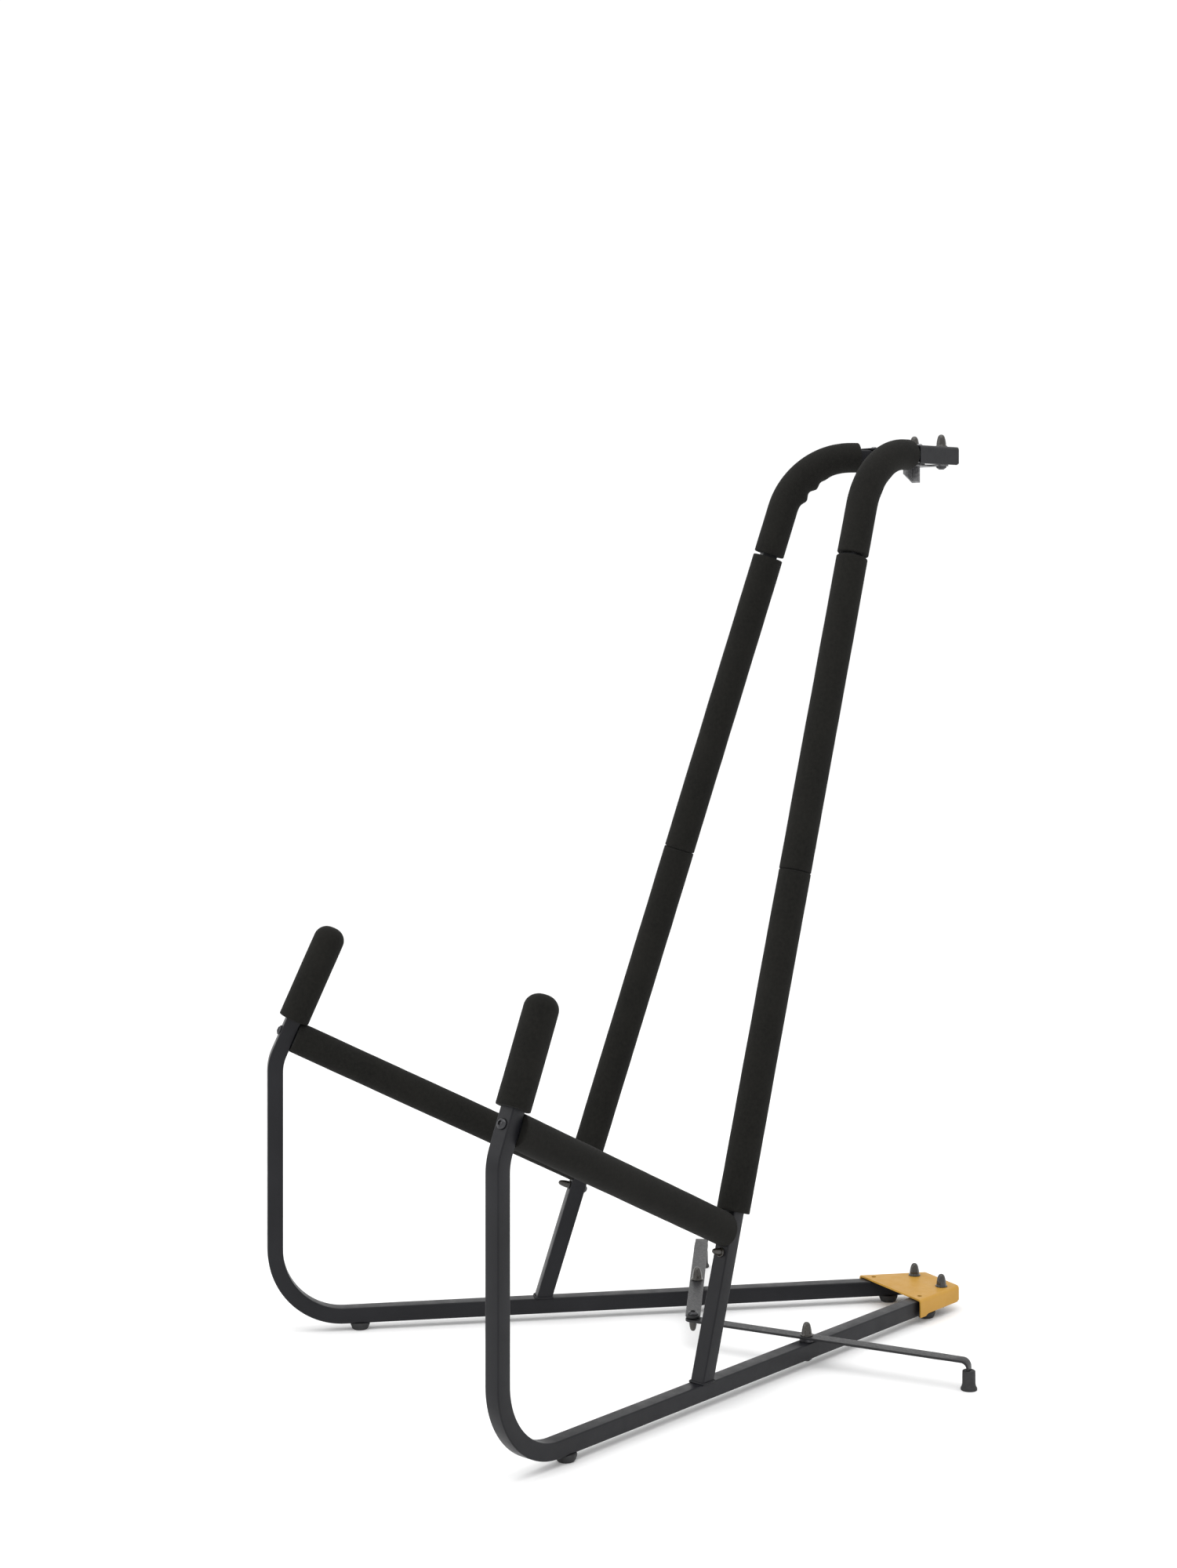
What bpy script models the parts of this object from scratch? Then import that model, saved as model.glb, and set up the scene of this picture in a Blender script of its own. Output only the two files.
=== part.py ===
"""Folding two-frame instrument stand: two tube frames hinged on a pair of V-shaped
brackets, foam sleeves, and a pair of outrigger arms that spread as the frames open."""
import math

import bmesh
import bpy
from mathutils import Matrix
from mathutils import Vector

# ---------------------------------------------------------------- driving dimensions (metres)
TUBE = 0.020
TUBE_WALL = 0.0012
TUBE_CORNER = 0.0018
SPREAD = math.radians(19.357)
PIVOT_X = 0.0298
PIVOT_Y = 0.4005

BASE_Z = 0.0195
UPRIGHT_S = 0.8602
BEND_R = 0.0900
REAR_S = -0.0100
HOOK_S = 0.8361
HOOK_Z = 0.4057
HOOK_SLOPE = -0.4446
HOOK_TUBE_TOP = 0.5118
HOOK_TIP = 0.5226
HOOK_BEND_R = 0.060

BACK_S0 = 0.5177
BACK_SLOPE = -0.3125
TOP_Z = 1.1390
TOP_BEND_R = 0.100
SEAT_S = 0.4561
SEAT_Z = 0.1963
SEAT_SLOPE = 0.4924

FOAM_R = 0.0201
FOAM_HOLE = 0.0206
FOAM_EDGE = 0.0028
FOAM_ROUNDING = ((0.0, 1.0), (0.30, 0.45), (1.0, 0.0))
FOAM_CORNER = 4
FOAM_CREASE = 0.0020
DOME_R = 0.0168
DOME_STEPS = 5
LOWER_FOAM_Z = 0.2192
MID_JOINT_Z = 0.6161
UPPER_JOINT_Z = 1.0065
TOP_FOAM_END_S = 0.0790

GAP = 0.0003
FIT = 0.0001

PLATE_T = 0.0025
PLATE_BEND_R = 0.0040
PLATE_FRONT = -0.0631
PLATE_REAR = 0.0225
FLANGE_OUT = 0.0160
BASE_PLATE_TOP = 0.0326
TOP_PLATE_TOP = 1.1519
BASE_FLANGE_Z = 0.0118
TOP_FLANGE_Z = 1.1278
DETENT_X = 0.0512
DETENT_Y = -0.0518
DETENT_R = 0.0032
DETENT_HEAD_R = 0.0038
DETENT_HEAD_H = 0.0020
LIP_END = 0.0120
LIP_RUN = 0.0050
LIP_DROP = 0.0024
REAR_RISE_RUN = 0.0040
REAR_RISE = 0.0022
HOLE_DEPTH = 0.016

PIVOT_BOLT_R = 0.0040
PIVOT_HEAD_R = 0.0070
PIVOT_HEAD_H = 0.0042
SMALL_BOLT_R = 0.0025
SMALL_HEAD_R = 0.0052
SMALL_HEAD_H = 0.0036
SCREW_R = 0.0025
SCREW_HEAD_R = 0.0064
SCREW_HEAD_H = 0.0034
SCREW_REACH = 0.0210
PIVOT_NUT_W = 0.0160
PIVOT_NUT_H = 0.0165
SMALL_NUT_W = 0.0116
SMALL_NUT_H = 0.0150
NUT_GRIP = 0.0080
NUT_END_GAP = 0.0006
CENTRE_HEAD_R = 0.0068
CENTRE_HEAD_H = 0.0040
CENTRE_NUT_R = 0.0062
CENTRE_NUT_H = 0.0130
POST_BOLT_Z = 0.1722
INSERT_NEAR = 0.0125
INSERT_LENGTH = 0.0140

STRAP_TOP = TOP_Z - TUBE / 2 - 0.0004
STRAP_T = 0.0025
STRAP_HALF = 0.0095
TONGUE_FRONT = -0.0416
TONGUE_LEFT = -0.0100
TONGUE_RIGHT = 0.0190
TAB_T = 0.0022
TAB_FRONT = -0.0410
TAB_FOLD = -0.0262
TAB_RIGHT = 0.0180
TAB_HIGH = 1.1160
TAB_LOW = 1.1040

ARM_ANGLE = math.radians(33.65)
ARM_S = 0.3010
ARM_W = 0.0190
ARM_T = 0.0030
ARM_LEG_W = 0.012
ARM_IN = (PIVOT_X + ARM_S * math.sin(SPREAD)) / math.cos(ARM_ANGLE)
ARM_OUT = 0.2106
ARM_BEND_R = 0.0085
LEFT_ARM_Z = 0.0386
RIGHT_ARM_Z = 0.0334
ARM_EDGE = 0.0004
ARM_NECK = 0.0012
ARM_NECK_FROM = 0.030
ARM_NECK_TO = 0.012
SPACER_R = 0.0090
LEG_END_Z = 0.0074
CUP_TOP = 0.0236
CUP_NECK_R = 0.0070
CUP_R = 0.0083
CUP_FLARE_R = 0.0100
CUP_FLARE_H = 0.0050
SLOT_CORNER = 0.12

FOOT_FRONT_S = 0.7499
FOOT_REAR_S = 0.0368
FOOT_H = 0.0092
FOOT_R = 0.0126
FOOT_FLOOR_R = 0.0090
PLUG_STEM = 0.0046
PLUG_FACE = 0.0012

TURN_STEPS = 16
SIDES = (("right", 1), ("left", -1))


# ---------------------------------------------------------------- scene and materials
def clear_scene():
    for obj in list(bpy.data.objects):
        bpy.data.objects.remove(obj, do_unlink=True)


def new_collection(name):
    coll = bpy.data.collections.new(name)
    bpy.context.scene.collection.children.link(coll)
    return coll


def make_material(name, colour, roughness, metallic):
    mat = bpy.data.materials.new(name)
    mat.use_nodes = True
    node = mat.node_tree.nodes["Principled BSDF"]
    node.inputs["Base Color"].default_value = (*colour, 1.0)
    node.inputs["Roughness"].default_value = roughness
    node.inputs["Metallic"].default_value = metallic
    mat.diffuse_color = (*colour, 1.0)
    return mat


def black_paint():
    return make_material("black_powder_coat", (0.035, 0.036, 0.040), 0.42, 0.0)


def gold_paint():
    return make_material("gold_powder_coat", (0.58, 0.36, 0.10), 0.40, 0.0)


def foam_rubber():
    return make_material("foam_rubber", (0.030, 0.030, 0.028), 0.90, 0.0)


def arm_paint():
    return make_material("gunmetal_coat", (0.065, 0.066, 0.068), 0.38, 0.2)


def nut_plastic():
    return make_material("cap_plastic", (0.022, 0.018, 0.014), 0.22, 0.0)


def foot_rubber():
    return make_material("foot_rubber", (0.030, 0.030, 0.032), 0.70, 0.0)


def bolt_steel():
    return make_material("black_bolt_steel", (0.045, 0.045, 0.048), 0.35, 0.6)


def grey_steel():
    return make_material("grey_steel", (0.42, 0.42, 0.43), 0.38, 0.9)


def plug_plastic():
    return make_material("plug_plastic", (0.028, 0.028, 0.030), 0.55, 0.0)


# ---------------------------------------------------------------- mesh helpers
def object_from(name, verts, faces, coll, mat, parent=None):
    mesh = bpy.data.meshes.new(name)
    work = bmesh.new()
    made = [work.verts.new(v) for v in verts]
    for face in faces:
        work.faces.new([made[i] for i in face])
    bmesh.ops.recalc_face_normals(work, faces=work.faces)
    work.to_mesh(mesh)
    work.free()
    mesh.shade_smooth()
    mesh.set_sharp_from_angle(angle=math.radians(32.0))
    obj = bpy.data.objects.new(name, mesh)
    coll.objects.link(obj)
    if mat is not None:
        mesh.materials.append(mat)
    obj.parent = parent
    return obj


def loft(name, rings, coll, mat, parent=None, closed_loop=False):
    count = len(rings[0])
    verts = [p for ring in rings for p in ring]
    faces = []
    spans = len(rings) if closed_loop else len(rings) - 1
    for i in range(spans):
        low = i * count
        high = ((i + 1) % len(rings)) * count
        for j in range(count):
            k = (j + 1) % count
            faces.append((low + j, low + k, high + k, high + j))
    if not closed_loop:
        faces.append(tuple(range(count)))
        faces.append(tuple((len(rings) - 1) * count + j for j in range(count)))
    return object_from(name, verts, faces, coll, mat, parent)


def rounded_square(half, corner, per_corner):
    points = []
    for k in range(4):
        middle = math.radians(45 + 90 * k)
        cx = math.copysign(half - corner, math.cos(middle))
        cy = math.copysign(half - corner, math.sin(middle))
        for j in range(per_corner):
            a = math.radians(90 * k + 90 * j / (per_corner - 1))
            points.append((cx + corner * math.cos(a), cy + corner * math.sin(a)))
    return points


def even_circle(radius, per_corner):
    count = 4 * per_corner
    points = []
    for k in range(4):
        for j in range(per_corner):
            a = math.radians(45 + 90 * k + (j - (per_corner - 1) / 2) * 360 / count)
            points.append((radius * math.cos(a), radius * math.sin(a)))
    return points


def slot_outline(half_x, half_y, per_corner):
    square = rounded_square(1.0, SLOT_CORNER, per_corner)
    return [(x * half_x, y * half_y) for x, y in square]


def route(corners, radii, steps):
    """Points and headings of a line through the corners, with an arc at each inner corner."""
    pts = [Vector(c) for c in corners]
    stations = []
    first = (pts[1] - pts[0]).normalized()
    stations.append((pts[0].copy(), first))
    for i in range(1, len(pts) - 1):
        before = (pts[i] - pts[i - 1]).normalized()
        after = (pts[i + 1] - pts[i]).normalized()
        turn = before.angle_signed(after)
        reach = radii[i - 1] * math.tan(abs(turn) / 2)
        start = pts[i] - before * reach
        side = Vector((-before.y, before.x)) * (-1 if turn > 0 else 1)
        centre = start + side * radii[i - 1]
        for k in range(steps[i - 1] + 1):
            a = -turn * k / steps[i - 1]
            arm = Matrix.Rotation(a, 2) @ (start - centre)
            head = Matrix.Rotation(a, 2) @ before
            stations.append((centre + arm, head))
    last = (pts[-1] - pts[-2]).normalized()
    stations.append((pts[-1].copy(), last))
    return stations


def section(side, station, profile, plane=None):
    """One ring of a swept profile. plane is (point, normal) that an end ring is slid onto."""
    point, head = station
    normal = Vector((-head.y, head.x))
    ring = []
    for a, b in profile:
        q = point + normal * b
        if plane is not None:
            q = q + head * ((plane[0] - q).dot(plane[1]) / head.dot(plane[1]))
        ring.append((side * a, -q.x, q.y))
    return ring


def sweep_rings(side, stations, profile, start_plane=None, end_plane=None):
    rings = []
    for i, station in enumerate(stations):
        plane = start_plane if i == 0 else (end_plane if i == len(stations) - 1 else None)
        rings.append(section(side, station, profile, plane))
    return rings


def hollow_tube(name, side, stations, coll, mat, parent, start_plane=None, end_plane=None):
    outer = rounded_square(TUBE / 2, TUBE_CORNER, 4)
    inner = rounded_square(TUBE / 2 - TUBE_WALL, TUBE_CORNER - TUBE_WALL, 4)
    rings = sweep_rings(side, stations, outer, start_plane, end_plane)
    rings += reversed(sweep_rings(side, stations, inner, start_plane, end_plane))
    return loft(name, rings, coll, mat, parent, closed_loop=True)


def shifted(station, distance):
    return (station[0] + station[1] * distance, station[1])


def moved_plane(plane, head, distance):
    if plane is None:
        return None
    return (plane[0] + head * distance, plane[1])


def foam_sleeve(name, side, stations, coll, mat, parent, start_plane=None, end_plane=None):
    """Round sleeve with a square bore, both outer ends rounded off."""
    bore = rounded_square(FOAM_HOLE / 2, TUBE_CORNER, FOAM_CORNER)
    rings = []
    first, last = stations[0], stations[-1]
    for along, drop in FOAM_ROUNDING:
        profile = even_circle(FOAM_R - FOAM_EDGE * drop, FOAM_CORNER)
        plane = moved_plane(start_plane, first[1], FOAM_EDGE * along)
        rings.append(section(side, shifted(first, FOAM_EDGE * along), profile, plane))
    full = even_circle(FOAM_R, FOAM_CORNER)
    for station in stations[1:-1]:
        rings.append(section(side, station, full))
    for along, drop in reversed(FOAM_ROUNDING):
        profile = even_circle(FOAM_R - FOAM_EDGE * drop, FOAM_CORNER)
        plane = moved_plane(end_plane, last[1], -FOAM_EDGE * along)
        rings.append(section(side, shifted(last, -FOAM_EDGE * along), profile, plane))
    rings += reversed(sweep_rings(side, stations, bore, start_plane, end_plane))
    return loft(name, rings, coll, mat, parent, closed_loop=True)


def turned(name, profile, coll, mat, place, parent=None):
    """Round solid: a profile of (radius, height) pairs, top to bottom, spun about place's Z."""
    mesh = bpy.data.meshes.new(name)
    work = bmesh.new()
    made = [work.verts.new((radius, 0.0, height)) for radius, height in profile]
    for upper, lower in zip(made, made[1:]):
        work.edges.new((upper, lower))
    if profile[0][0] > 0.0:
        work.edges.new((made[-1], made[0]))
    work.to_mesh(mesh)
    work.free()
    obj = bpy.data.objects.new(name, mesh)
    coll.objects.link(obj)
    mesh.materials.append(mat)
    obj.parent = parent
    obj.matrix_local = place
    screw = obj.modifiers.new("turn", "SCREW")
    screw.axis = "Z"
    screw.steps = TURN_STEPS
    screw.render_steps = TURN_STEPS
    screw.use_merge_vertices = True
    screw.merge_threshold = 0.00005
    screw.use_smooth_shade = True
    return obj


def cut_with(target, cutter, parent):
    cutter.parent = parent
    cutter.hide_render = True
    cutter.display_type = "WIRE"
    mod = target.modifiers.new(cutter.name, "BOOLEAN")
    mod.operation = "DIFFERENCE"
    mod.solver = "EXACT"
    mod.object = cutter


def drill(target, name, coll, place, radius, depth, parent=None):
    """Cuts a round hole centred on place, along its Z axis."""
    mesh = bpy.data.meshes.new(name)
    work = bmesh.new()
    bmesh.ops.create_cone(
        work, cap_ends=True, segments=TURN_STEPS, radius1=radius, radius2=radius, depth=depth
    )
    work.to_mesh(mesh)
    work.free()
    cutter = bpy.data.objects.new(name, mesh)
    coll.objects.link(cutter)
    cut_with(target, cutter, parent)
    cutter.matrix_local = place


def flat_piece(name, outline, low, high, coll, mat, parent):
    """Sheet piece with a closed flat outline, between two heights."""
    rings = [[(x, y, z) for x, y in outline] for z in (low, high)]
    return loft(name, rings, coll, mat, parent)


def empty_at(name, place, coll):
    obj = bpy.data.objects.new(name, None)
    obj.matrix_world = place
    obj.empty_display_size = 0.03
    coll.objects.link(obj)
    return obj


def aim(s, z, direction):
    """Matrix at (s, z) in a frame's plane whose Z axis points along direction (s, z)."""
    axis = Vector((0.0, -direction[0], direction[1])).normalized()
    spin = axis.to_track_quat("Z", "X").to_matrix().to_4x4()
    return Matrix.Translation((0.0, -s, z)) @ spin


# ---------------------------------------------------------------- routes in a frame's plane
def hook_s(z):
    return HOOK_S + HOOK_SLOPE * (z - HOOK_Z)


def back_s(z):
    return BACK_S0 + BACK_SLOPE * z


HOOK_DIR = Vector((HOOK_SLOPE, 1.0)).normalized()
BACK_DIR = Vector((BACK_SLOPE, 1.0)).normalized()
SEAT_DIR = Vector((1.0, SEAT_SLOPE)).normalized()


def face_behind(direction, distance):
    """Unit normal of a leaning tube's front or rear face times distance."""
    return Vector((direction.y, -direction.x)) * distance


def frame_route():
    knee_z = HOOK_Z + (UPRIGHT_S - HOOK_S) / HOOK_SLOPE
    corners = (
        (REAR_S, BASE_Z),
        (UPRIGHT_S, BASE_Z),
        (UPRIGHT_S, knee_z),
        (hook_s(HOOK_TUBE_TOP), HOOK_TUBE_TOP),
    )
    return route(corners, (BEND_R, HOOK_BEND_R), (7, 3))


def back_route():
    foot = BASE_Z + TUBE / 2 + GAP
    corners = ((back_s(foot), foot), (back_s(TOP_Z), TOP_Z), (REAR_S, TOP_Z))
    return route(corners, (TOP_BEND_R,), (7,))


def seat_ends():
    """Seat tube ends, on the hook tube's rear face and the back tube's front face."""
    cross_f = Vector((HOOK_S, HOOK_Z))
    span = HOOK_DIR.x * SEAT_DIR.y - HOOK_DIR.y * SEAT_DIR.x
    base = Vector((SEAT_S, SEAT_Z))
    diff = base - cross_f
    t = (diff.x * SEAT_DIR.y - diff.y * SEAT_DIR.x) / span
    front = cross_f + HOOK_DIR * t
    cross_b = Vector((BACK_S0, 0.0))
    span = BACK_DIR.x * SEAT_DIR.y - BACK_DIR.y * SEAT_DIR.x
    diff = base - cross_b
    t = (diff.x * SEAT_DIR.y - diff.y * SEAT_DIR.x) / span
    rear = cross_b + BACK_DIR * t
    return rear, front


def seat_planes(clear):
    rear, front = seat_ends()
    rear_plane = (rear + face_behind(BACK_DIR, TUBE / 2 + clear), face_behind(BACK_DIR, 1.0))
    front_plane = (front - face_behind(HOOK_DIR, TUBE / 2 + clear), face_behind(HOOK_DIR, 1.0))
    return rear_plane, front_plane


# ---------------------------------------------------------------- frame pieces
def frame_tube(side, tag, coll, cutters, mats, parent):
    obj = hollow_tube(f"{tag}_frame_tube", side, frame_route(), coll, mats["paint"], parent)
    up = Matrix.Translation((0.0, 0.0, BASE_Z))
    drill(obj, f"{tag}_cut_pivot", cutters, up, PIVOT_BOLT_R + FIT, 2 * TUBE, parent)
    arm = Matrix.Translation((0.0, -ARM_S, BASE_Z))
    drill(obj, f"{tag}_cut_arm", cutters, arm, PIVOT_BOLT_R + FIT, 2 * TUBE, parent)
    _, front = seat_ends()
    screw = aim(front.x, front.y, SEAT_DIR)
    drill(obj, f"{tag}_cut_screw", cutters, screw, SCREW_R + FIT, 2.5 * TUBE, parent)
    return obj


def back_tube(side, tag, coll, cutters, mats, parent):
    foot_plane = (Vector((0.0, BASE_Z + TUBE / 2 + GAP)), Vector((0.0, 1.0)))
    obj = hollow_tube(
        f"{tag}_back_tube", side, back_route(), coll, mats["paint"], parent, foot_plane
    )
    top = Matrix.Translation((0.0, 0.0, TOP_Z))
    drill(obj, f"{tag}_cut_top", cutters, top, PIVOT_BOLT_R + FIT, 2 * TUBE, parent)
    bolt_at = aim(back_s(POST_BOLT_Z), POST_BOLT_Z, face_behind(BACK_DIR, 1.0))
    drill(obj, f"{tag}_cut_post", cutters, bolt_at, SMALL_BOLT_R + FIT, 2.5 * TUBE, parent)
    return obj


def seat_stations():
    rear, front = seat_ends()
    inset = SEAT_DIR * TUBE * 0.6
    return [(rear + inset, SEAT_DIR), (front - inset, SEAT_DIR)]


def seat_tube(side, tag, coll, mats, parent):
    rear_plane, front_plane = seat_planes(GAP)
    return hollow_tube(
        f"{tag}_seat_tube", side, seat_stations(), coll, mats["paint"], parent,
        rear_plane, front_plane,
    )


def seat_foam(side, tag, coll, mats, parent):
    rear_plane, front_plane = seat_planes(2 * GAP)
    return foam_sleeve(
        f"{tag}_seat_foam", side, seat_stations(), coll, mats["foam"], parent,
        rear_plane, front_plane,
    )


def hook_foam(side, tag, coll, mats, parent):
    """Sleeve closed over the hook's top, with a blind square bore."""
    bore = rounded_square(FOAM_HOLE / 2, TUBE_CORNER, FOAM_CORNER)
    rim = Vector((HOOK_S, HOOK_Z))
    tip = Vector((hook_s(HOOK_TIP), HOOK_TIP))
    top = Vector((hook_s(HOOK_TUBE_TOP), HOOK_TUBE_TOP)) + HOOK_DIR * GAP
    rings = [section(side, (top, HOOK_DIR), bore), section(side, (rim, HOOK_DIR), bore)]
    for along, drop in FOAM_ROUNDING:
        profile = even_circle(FOAM_R - FOAM_EDGE * drop, FOAM_CORNER)
        rings.append(section(side, (rim + HOOK_DIR * FOAM_EDGE * along, HOOK_DIR), profile))
    for k in range(DOME_STEPS):
        a = math.radians(90 * k / (DOME_STEPS - 0.5))
        centre = tip - HOOK_DIR * DOME_R * (1 - math.sin(a))
        radius = FOAM_R - DOME_R * (1 - math.cos(a))
        rings.append(section(side, (centre, HOOK_DIR), even_circle(radius, FOAM_CORNER)))
    return loft(f"{tag}_hook_foam", rings, coll, mats["foam"], parent)


def back_foam(name, side, low, high, coll, mats, parent):
    stations = [(Vector((back_s(low), low)), BACK_DIR), (Vector((back_s(high), high)), BACK_DIR)]
    return foam_sleeve(name, side, stations, coll, mats["foam"], parent)


def top_foam(side, tag, coll, mats, parent):
    low = UPPER_JOINT_Z + FOAM_CREASE
    corners = ((back_s(low), low), (back_s(TOP_Z), TOP_Z), (TOP_FOAM_END_S, TOP_Z))
    stations = route(corners, (TOP_BEND_R,), (7,))
    return foam_sleeve(f"{tag}_top_foam", side, stations, coll, mats["foam"], parent)


def end_plug(name, side, z, coll, mats, parent):
    """Push-in plastic plug closing a tube's rear end."""
    stem = rounded_square(TUBE / 2 - TUBE_WALL - GAP, TUBE_CORNER - TUBE_WALL, 4)
    face = rounded_square(TUBE / 2 - 2 * FIT, TUBE_CORNER, 4)
    back = Vector((-1.0, 0.0))
    end = Vector((REAR_S, z))
    rings = []
    for out, profile in ((-PLUG_STEM, stem), (FIT, stem), (FIT, face), (PLUG_FACE, face)):
        rings.append(section(side, (end + back * out, back), profile))
    return loft(name, rings, coll, mats["plug"], parent)


def bumper(name, s, coll, mats, parent):
    """Tapered rubber foot under the base tube."""
    profile = (
        (0.0, FOOT_H), (FOOT_R * 0.97, FOOT_H), (FOOT_R, FOOT_H * 0.91),
        (FOOT_R * 0.98, FOOT_H * 0.67), (FOOT_FLOOR_R * 1.11, FOOT_H * 0.11),
        (FOOT_FLOOR_R, 0.0), (0.0, 0.0),
    )
    place = Matrix.Translation((0.0, -s, 0.0))
    return turned(name, profile, coll, mats["rubber"], place, parent)


def button_head(radius, height):
    return (
        (0.0, height), (radius * 0.45, height), (radius * 0.80, height * 0.74),
        (radius, height * 0.22), (radius, 0.0),
    )


def bolt(name, place, head_r, head_h, shank_r, length, coll, mat, parent=None):
    """Button head above place, shank of the given length below it."""
    shank = ((shank_r, 0.0), (shank_r, -length), (0.0, -length))
    return turned(name, button_head(head_r, head_h) + shank, coll, mat, place, parent)


def cap_outline(radius, height):
    """Outer side of a closed conical cap with a flared rim, from its top down."""
    return (
        (0.0, height), (radius * 0.24, height), (radius * 0.52, height * 0.86),
        (radius * 0.70, height * 0.52), (radius * 0.82, height * 0.16),
        (radius * 0.98, height * 0.08), (radius, 0.0),
    )


def cap_nut(name, place, width, height, bore_r, bore, coll, mat, parent=None):
    """Closed conical cap over a nut, with a blind bore for the bolt."""
    hollow = ((bore_r, 0.0), (bore_r, bore), (0.0, bore))
    return turned(name, cap_outline(width / 2, height) + hollow, coll, mat, place, parent)


def hook_screw(tag, coll, mats, parent):
    _, front = seat_ends()
    out = front + face_behind(HOOK_DIR, TUBE / 2 + 2 * GAP)
    reach = (out - front).dot(SEAT_DIR)
    seat = front + SEAT_DIR * reach
    place = aim(seat.x, seat.y, SEAT_DIR)
    return bolt(
        f"{tag}_hook_screw", place, SCREW_HEAD_R, SCREW_HEAD_H, SCREW_R, reach + SCREW_REACH,
        coll, mats["bolt"], parent,
    )


def seat_insert(side, tag, coll, cutters, mats, parent):
    """Threaded block inside the seat tube's front end that takes the hook screw."""
    _, front = seat_ends()
    block = rounded_square(TUBE / 2 - TUBE_WALL - 2 * FIT, TUBE_CORNER - TUBE_WALL, 4)
    near = front - SEAT_DIR * INSERT_NEAR
    far = near - SEAT_DIR * INSERT_LENGTH
    rings = [section(side, (far, SEAT_DIR), block), section(side, (near, SEAT_DIR), block)]
    obj = loft(f"{tag}_seat_insert", rings, coll, mats["bolt"], parent)
    middle = (near + far) / 2
    place = aim(middle.x, middle.y, SEAT_DIR)
    drill(obj, f"{tag}_cut_insert", cutters, place, SCREW_R + FIT, 2 * INSERT_LENGTH, parent)
    return obj


def post_bolt(tag, coll, mats, parent):
    out = face_behind(BACK_DIR, 1.0)
    middle = Vector((back_s(POST_BOLT_Z), POST_BOLT_Z))
    base = middle - out * (TUBE / 2 + GAP)
    bolt(
        f"{tag}_post_bolt", aim(base.x, base.y, -out), SMALL_HEAD_R, SMALL_HEAD_H,
        SMALL_BOLT_R, TUBE + 2 * GAP + SMALL_NUT_H / 2, coll, mats["bolt"], parent,
    )
    front = middle + out * (TUBE / 2 + GAP)
    cap_nut(
        f"{tag}_post_cap_nut", aim(front.x, front.y, out), SMALL_NUT_W, SMALL_NUT_H,
        SMALL_BOLT_R + FIT, SMALL_NUT_H / 2 + NUT_END_GAP, coll, mats["nut"], parent,
    )


def clamp(name, below, above, place, coll, mats, parent):
    """M8 button-head bolt up through a stack from height below, with its cap nut at above."""
    flip = Matrix.Rotation(math.pi, 4, "X")
    bolt(
        f"{name}_bolt", place @ Matrix.Translation((0.0, 0.0, below)) @ flip, PIVOT_HEAD_R,
        PIVOT_HEAD_H, PIVOT_BOLT_R, above - below + NUT_GRIP, coll, mats["bolt"], parent,
    )
    cap_nut(
        f"{name}_cap_nut", place @ Matrix.Translation((0.0, 0.0, above)), PIVOT_NUT_W,
        PIVOT_NUT_H, PIVOT_BOLT_R + FIT, NUT_GRIP + NUT_END_GAP, coll, mats["nut"], parent,
    )


def outrigger_pivot(side, tag, coll, mats, parent):
    """Arm pivot: bolt up through the base tube, spacer under the arm, cap nut on top."""
    arm_z = RIGHT_ARM_Z if side > 0 else LEFT_ARM_Z
    place = Matrix.Translation((0.0, -ARM_S, 0.0))
    clamp(f"{tag}_outrigger", BASE_Z - TUBE / 2 - GAP, arm_z + ARM_T + 2 * FIT, place, coll,
          mats, parent)
    low = BASE_Z + TUBE / 2 + FIT
    high = arm_z - FIT
    bore = PIVOT_BOLT_R + FIT
    profile = ((bore, high), (SPACER_R, high), (SPACER_R, low), (bore, low))
    turned(f"{tag}_outrigger_spacer", profile, coll, mats["bolt"], place, parent)


# ---------------------------------------------------------------- outrigger arms
def arm_rings(z):
    """Flat bar from its rounded inner end to the turned-down leg; x runs outward from the pivot."""
    rings = []

    def station(x, height, tilt, width):
        half = width / 2
        t = ARM_T / 2
        e = ARM_EDGE
        up = (math.sin(tilt), math.cos(tilt))
        rings.append([
            (x + up[0] * rise, across, height + up[1] * rise)
            for across, rise in (
                (half - e, t), (e - half, t), (-half, t - e), (-half, e - t),
                (e - half, -t), (half - e, -t), (half, e - t), (half, t - e),
            )
        ])

    mid = z + ARM_T / 2
    for k in range(7):
        a = math.radians(84 - 14 * k)
        station(-ARM_IN - ARM_W / 2 * math.sin(a), mid, 0.0, ARM_W * math.cos(a))
    turn_x = ARM_OUT - ARM_BEND_R
    station(turn_x - ARM_NECK_FROM, mid, 0.0, ARM_W)
    station(turn_x - ARM_NECK_TO, mid, 0.0, ARM_W - ARM_NECK)
    for k in range(7):
        a = math.radians(15 * k)
        x = turn_x + ARM_BEND_R * math.sin(a)
        height = mid - ARM_BEND_R * (1 - math.cos(a))
        station(x, height, a, ARM_W - ARM_NECK - (ARM_W - ARM_NECK - ARM_LEG_W) * k / 6)
    station(ARM_OUT, LEG_END_Z, math.radians(90), ARM_LEG_W)
    return rings


def outrigger_arm(side, tag, coll, cutters, mats, parent):
    arm_z = RIGHT_ARM_Z if side > 0 else LEFT_ARM_Z
    obj = loft(f"{tag}_outrigger_arm", arm_rings(arm_z), coll, mats["arm"], parent)
    mid = arm_z + ARM_T / 2
    drill(obj, f"{tag}_cut_arm_pivot", cutters, Matrix.Translation((0.0, 0.0, mid)),
          PIVOT_BOLT_R + FIT, TUBE, parent)
    drill(obj, f"{tag}_cut_arm_end", cutters, Matrix.Translation((-ARM_IN, 0.0, mid)),
          SMALL_BOLT_R + FIT, TUBE, parent)
    return obj


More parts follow.
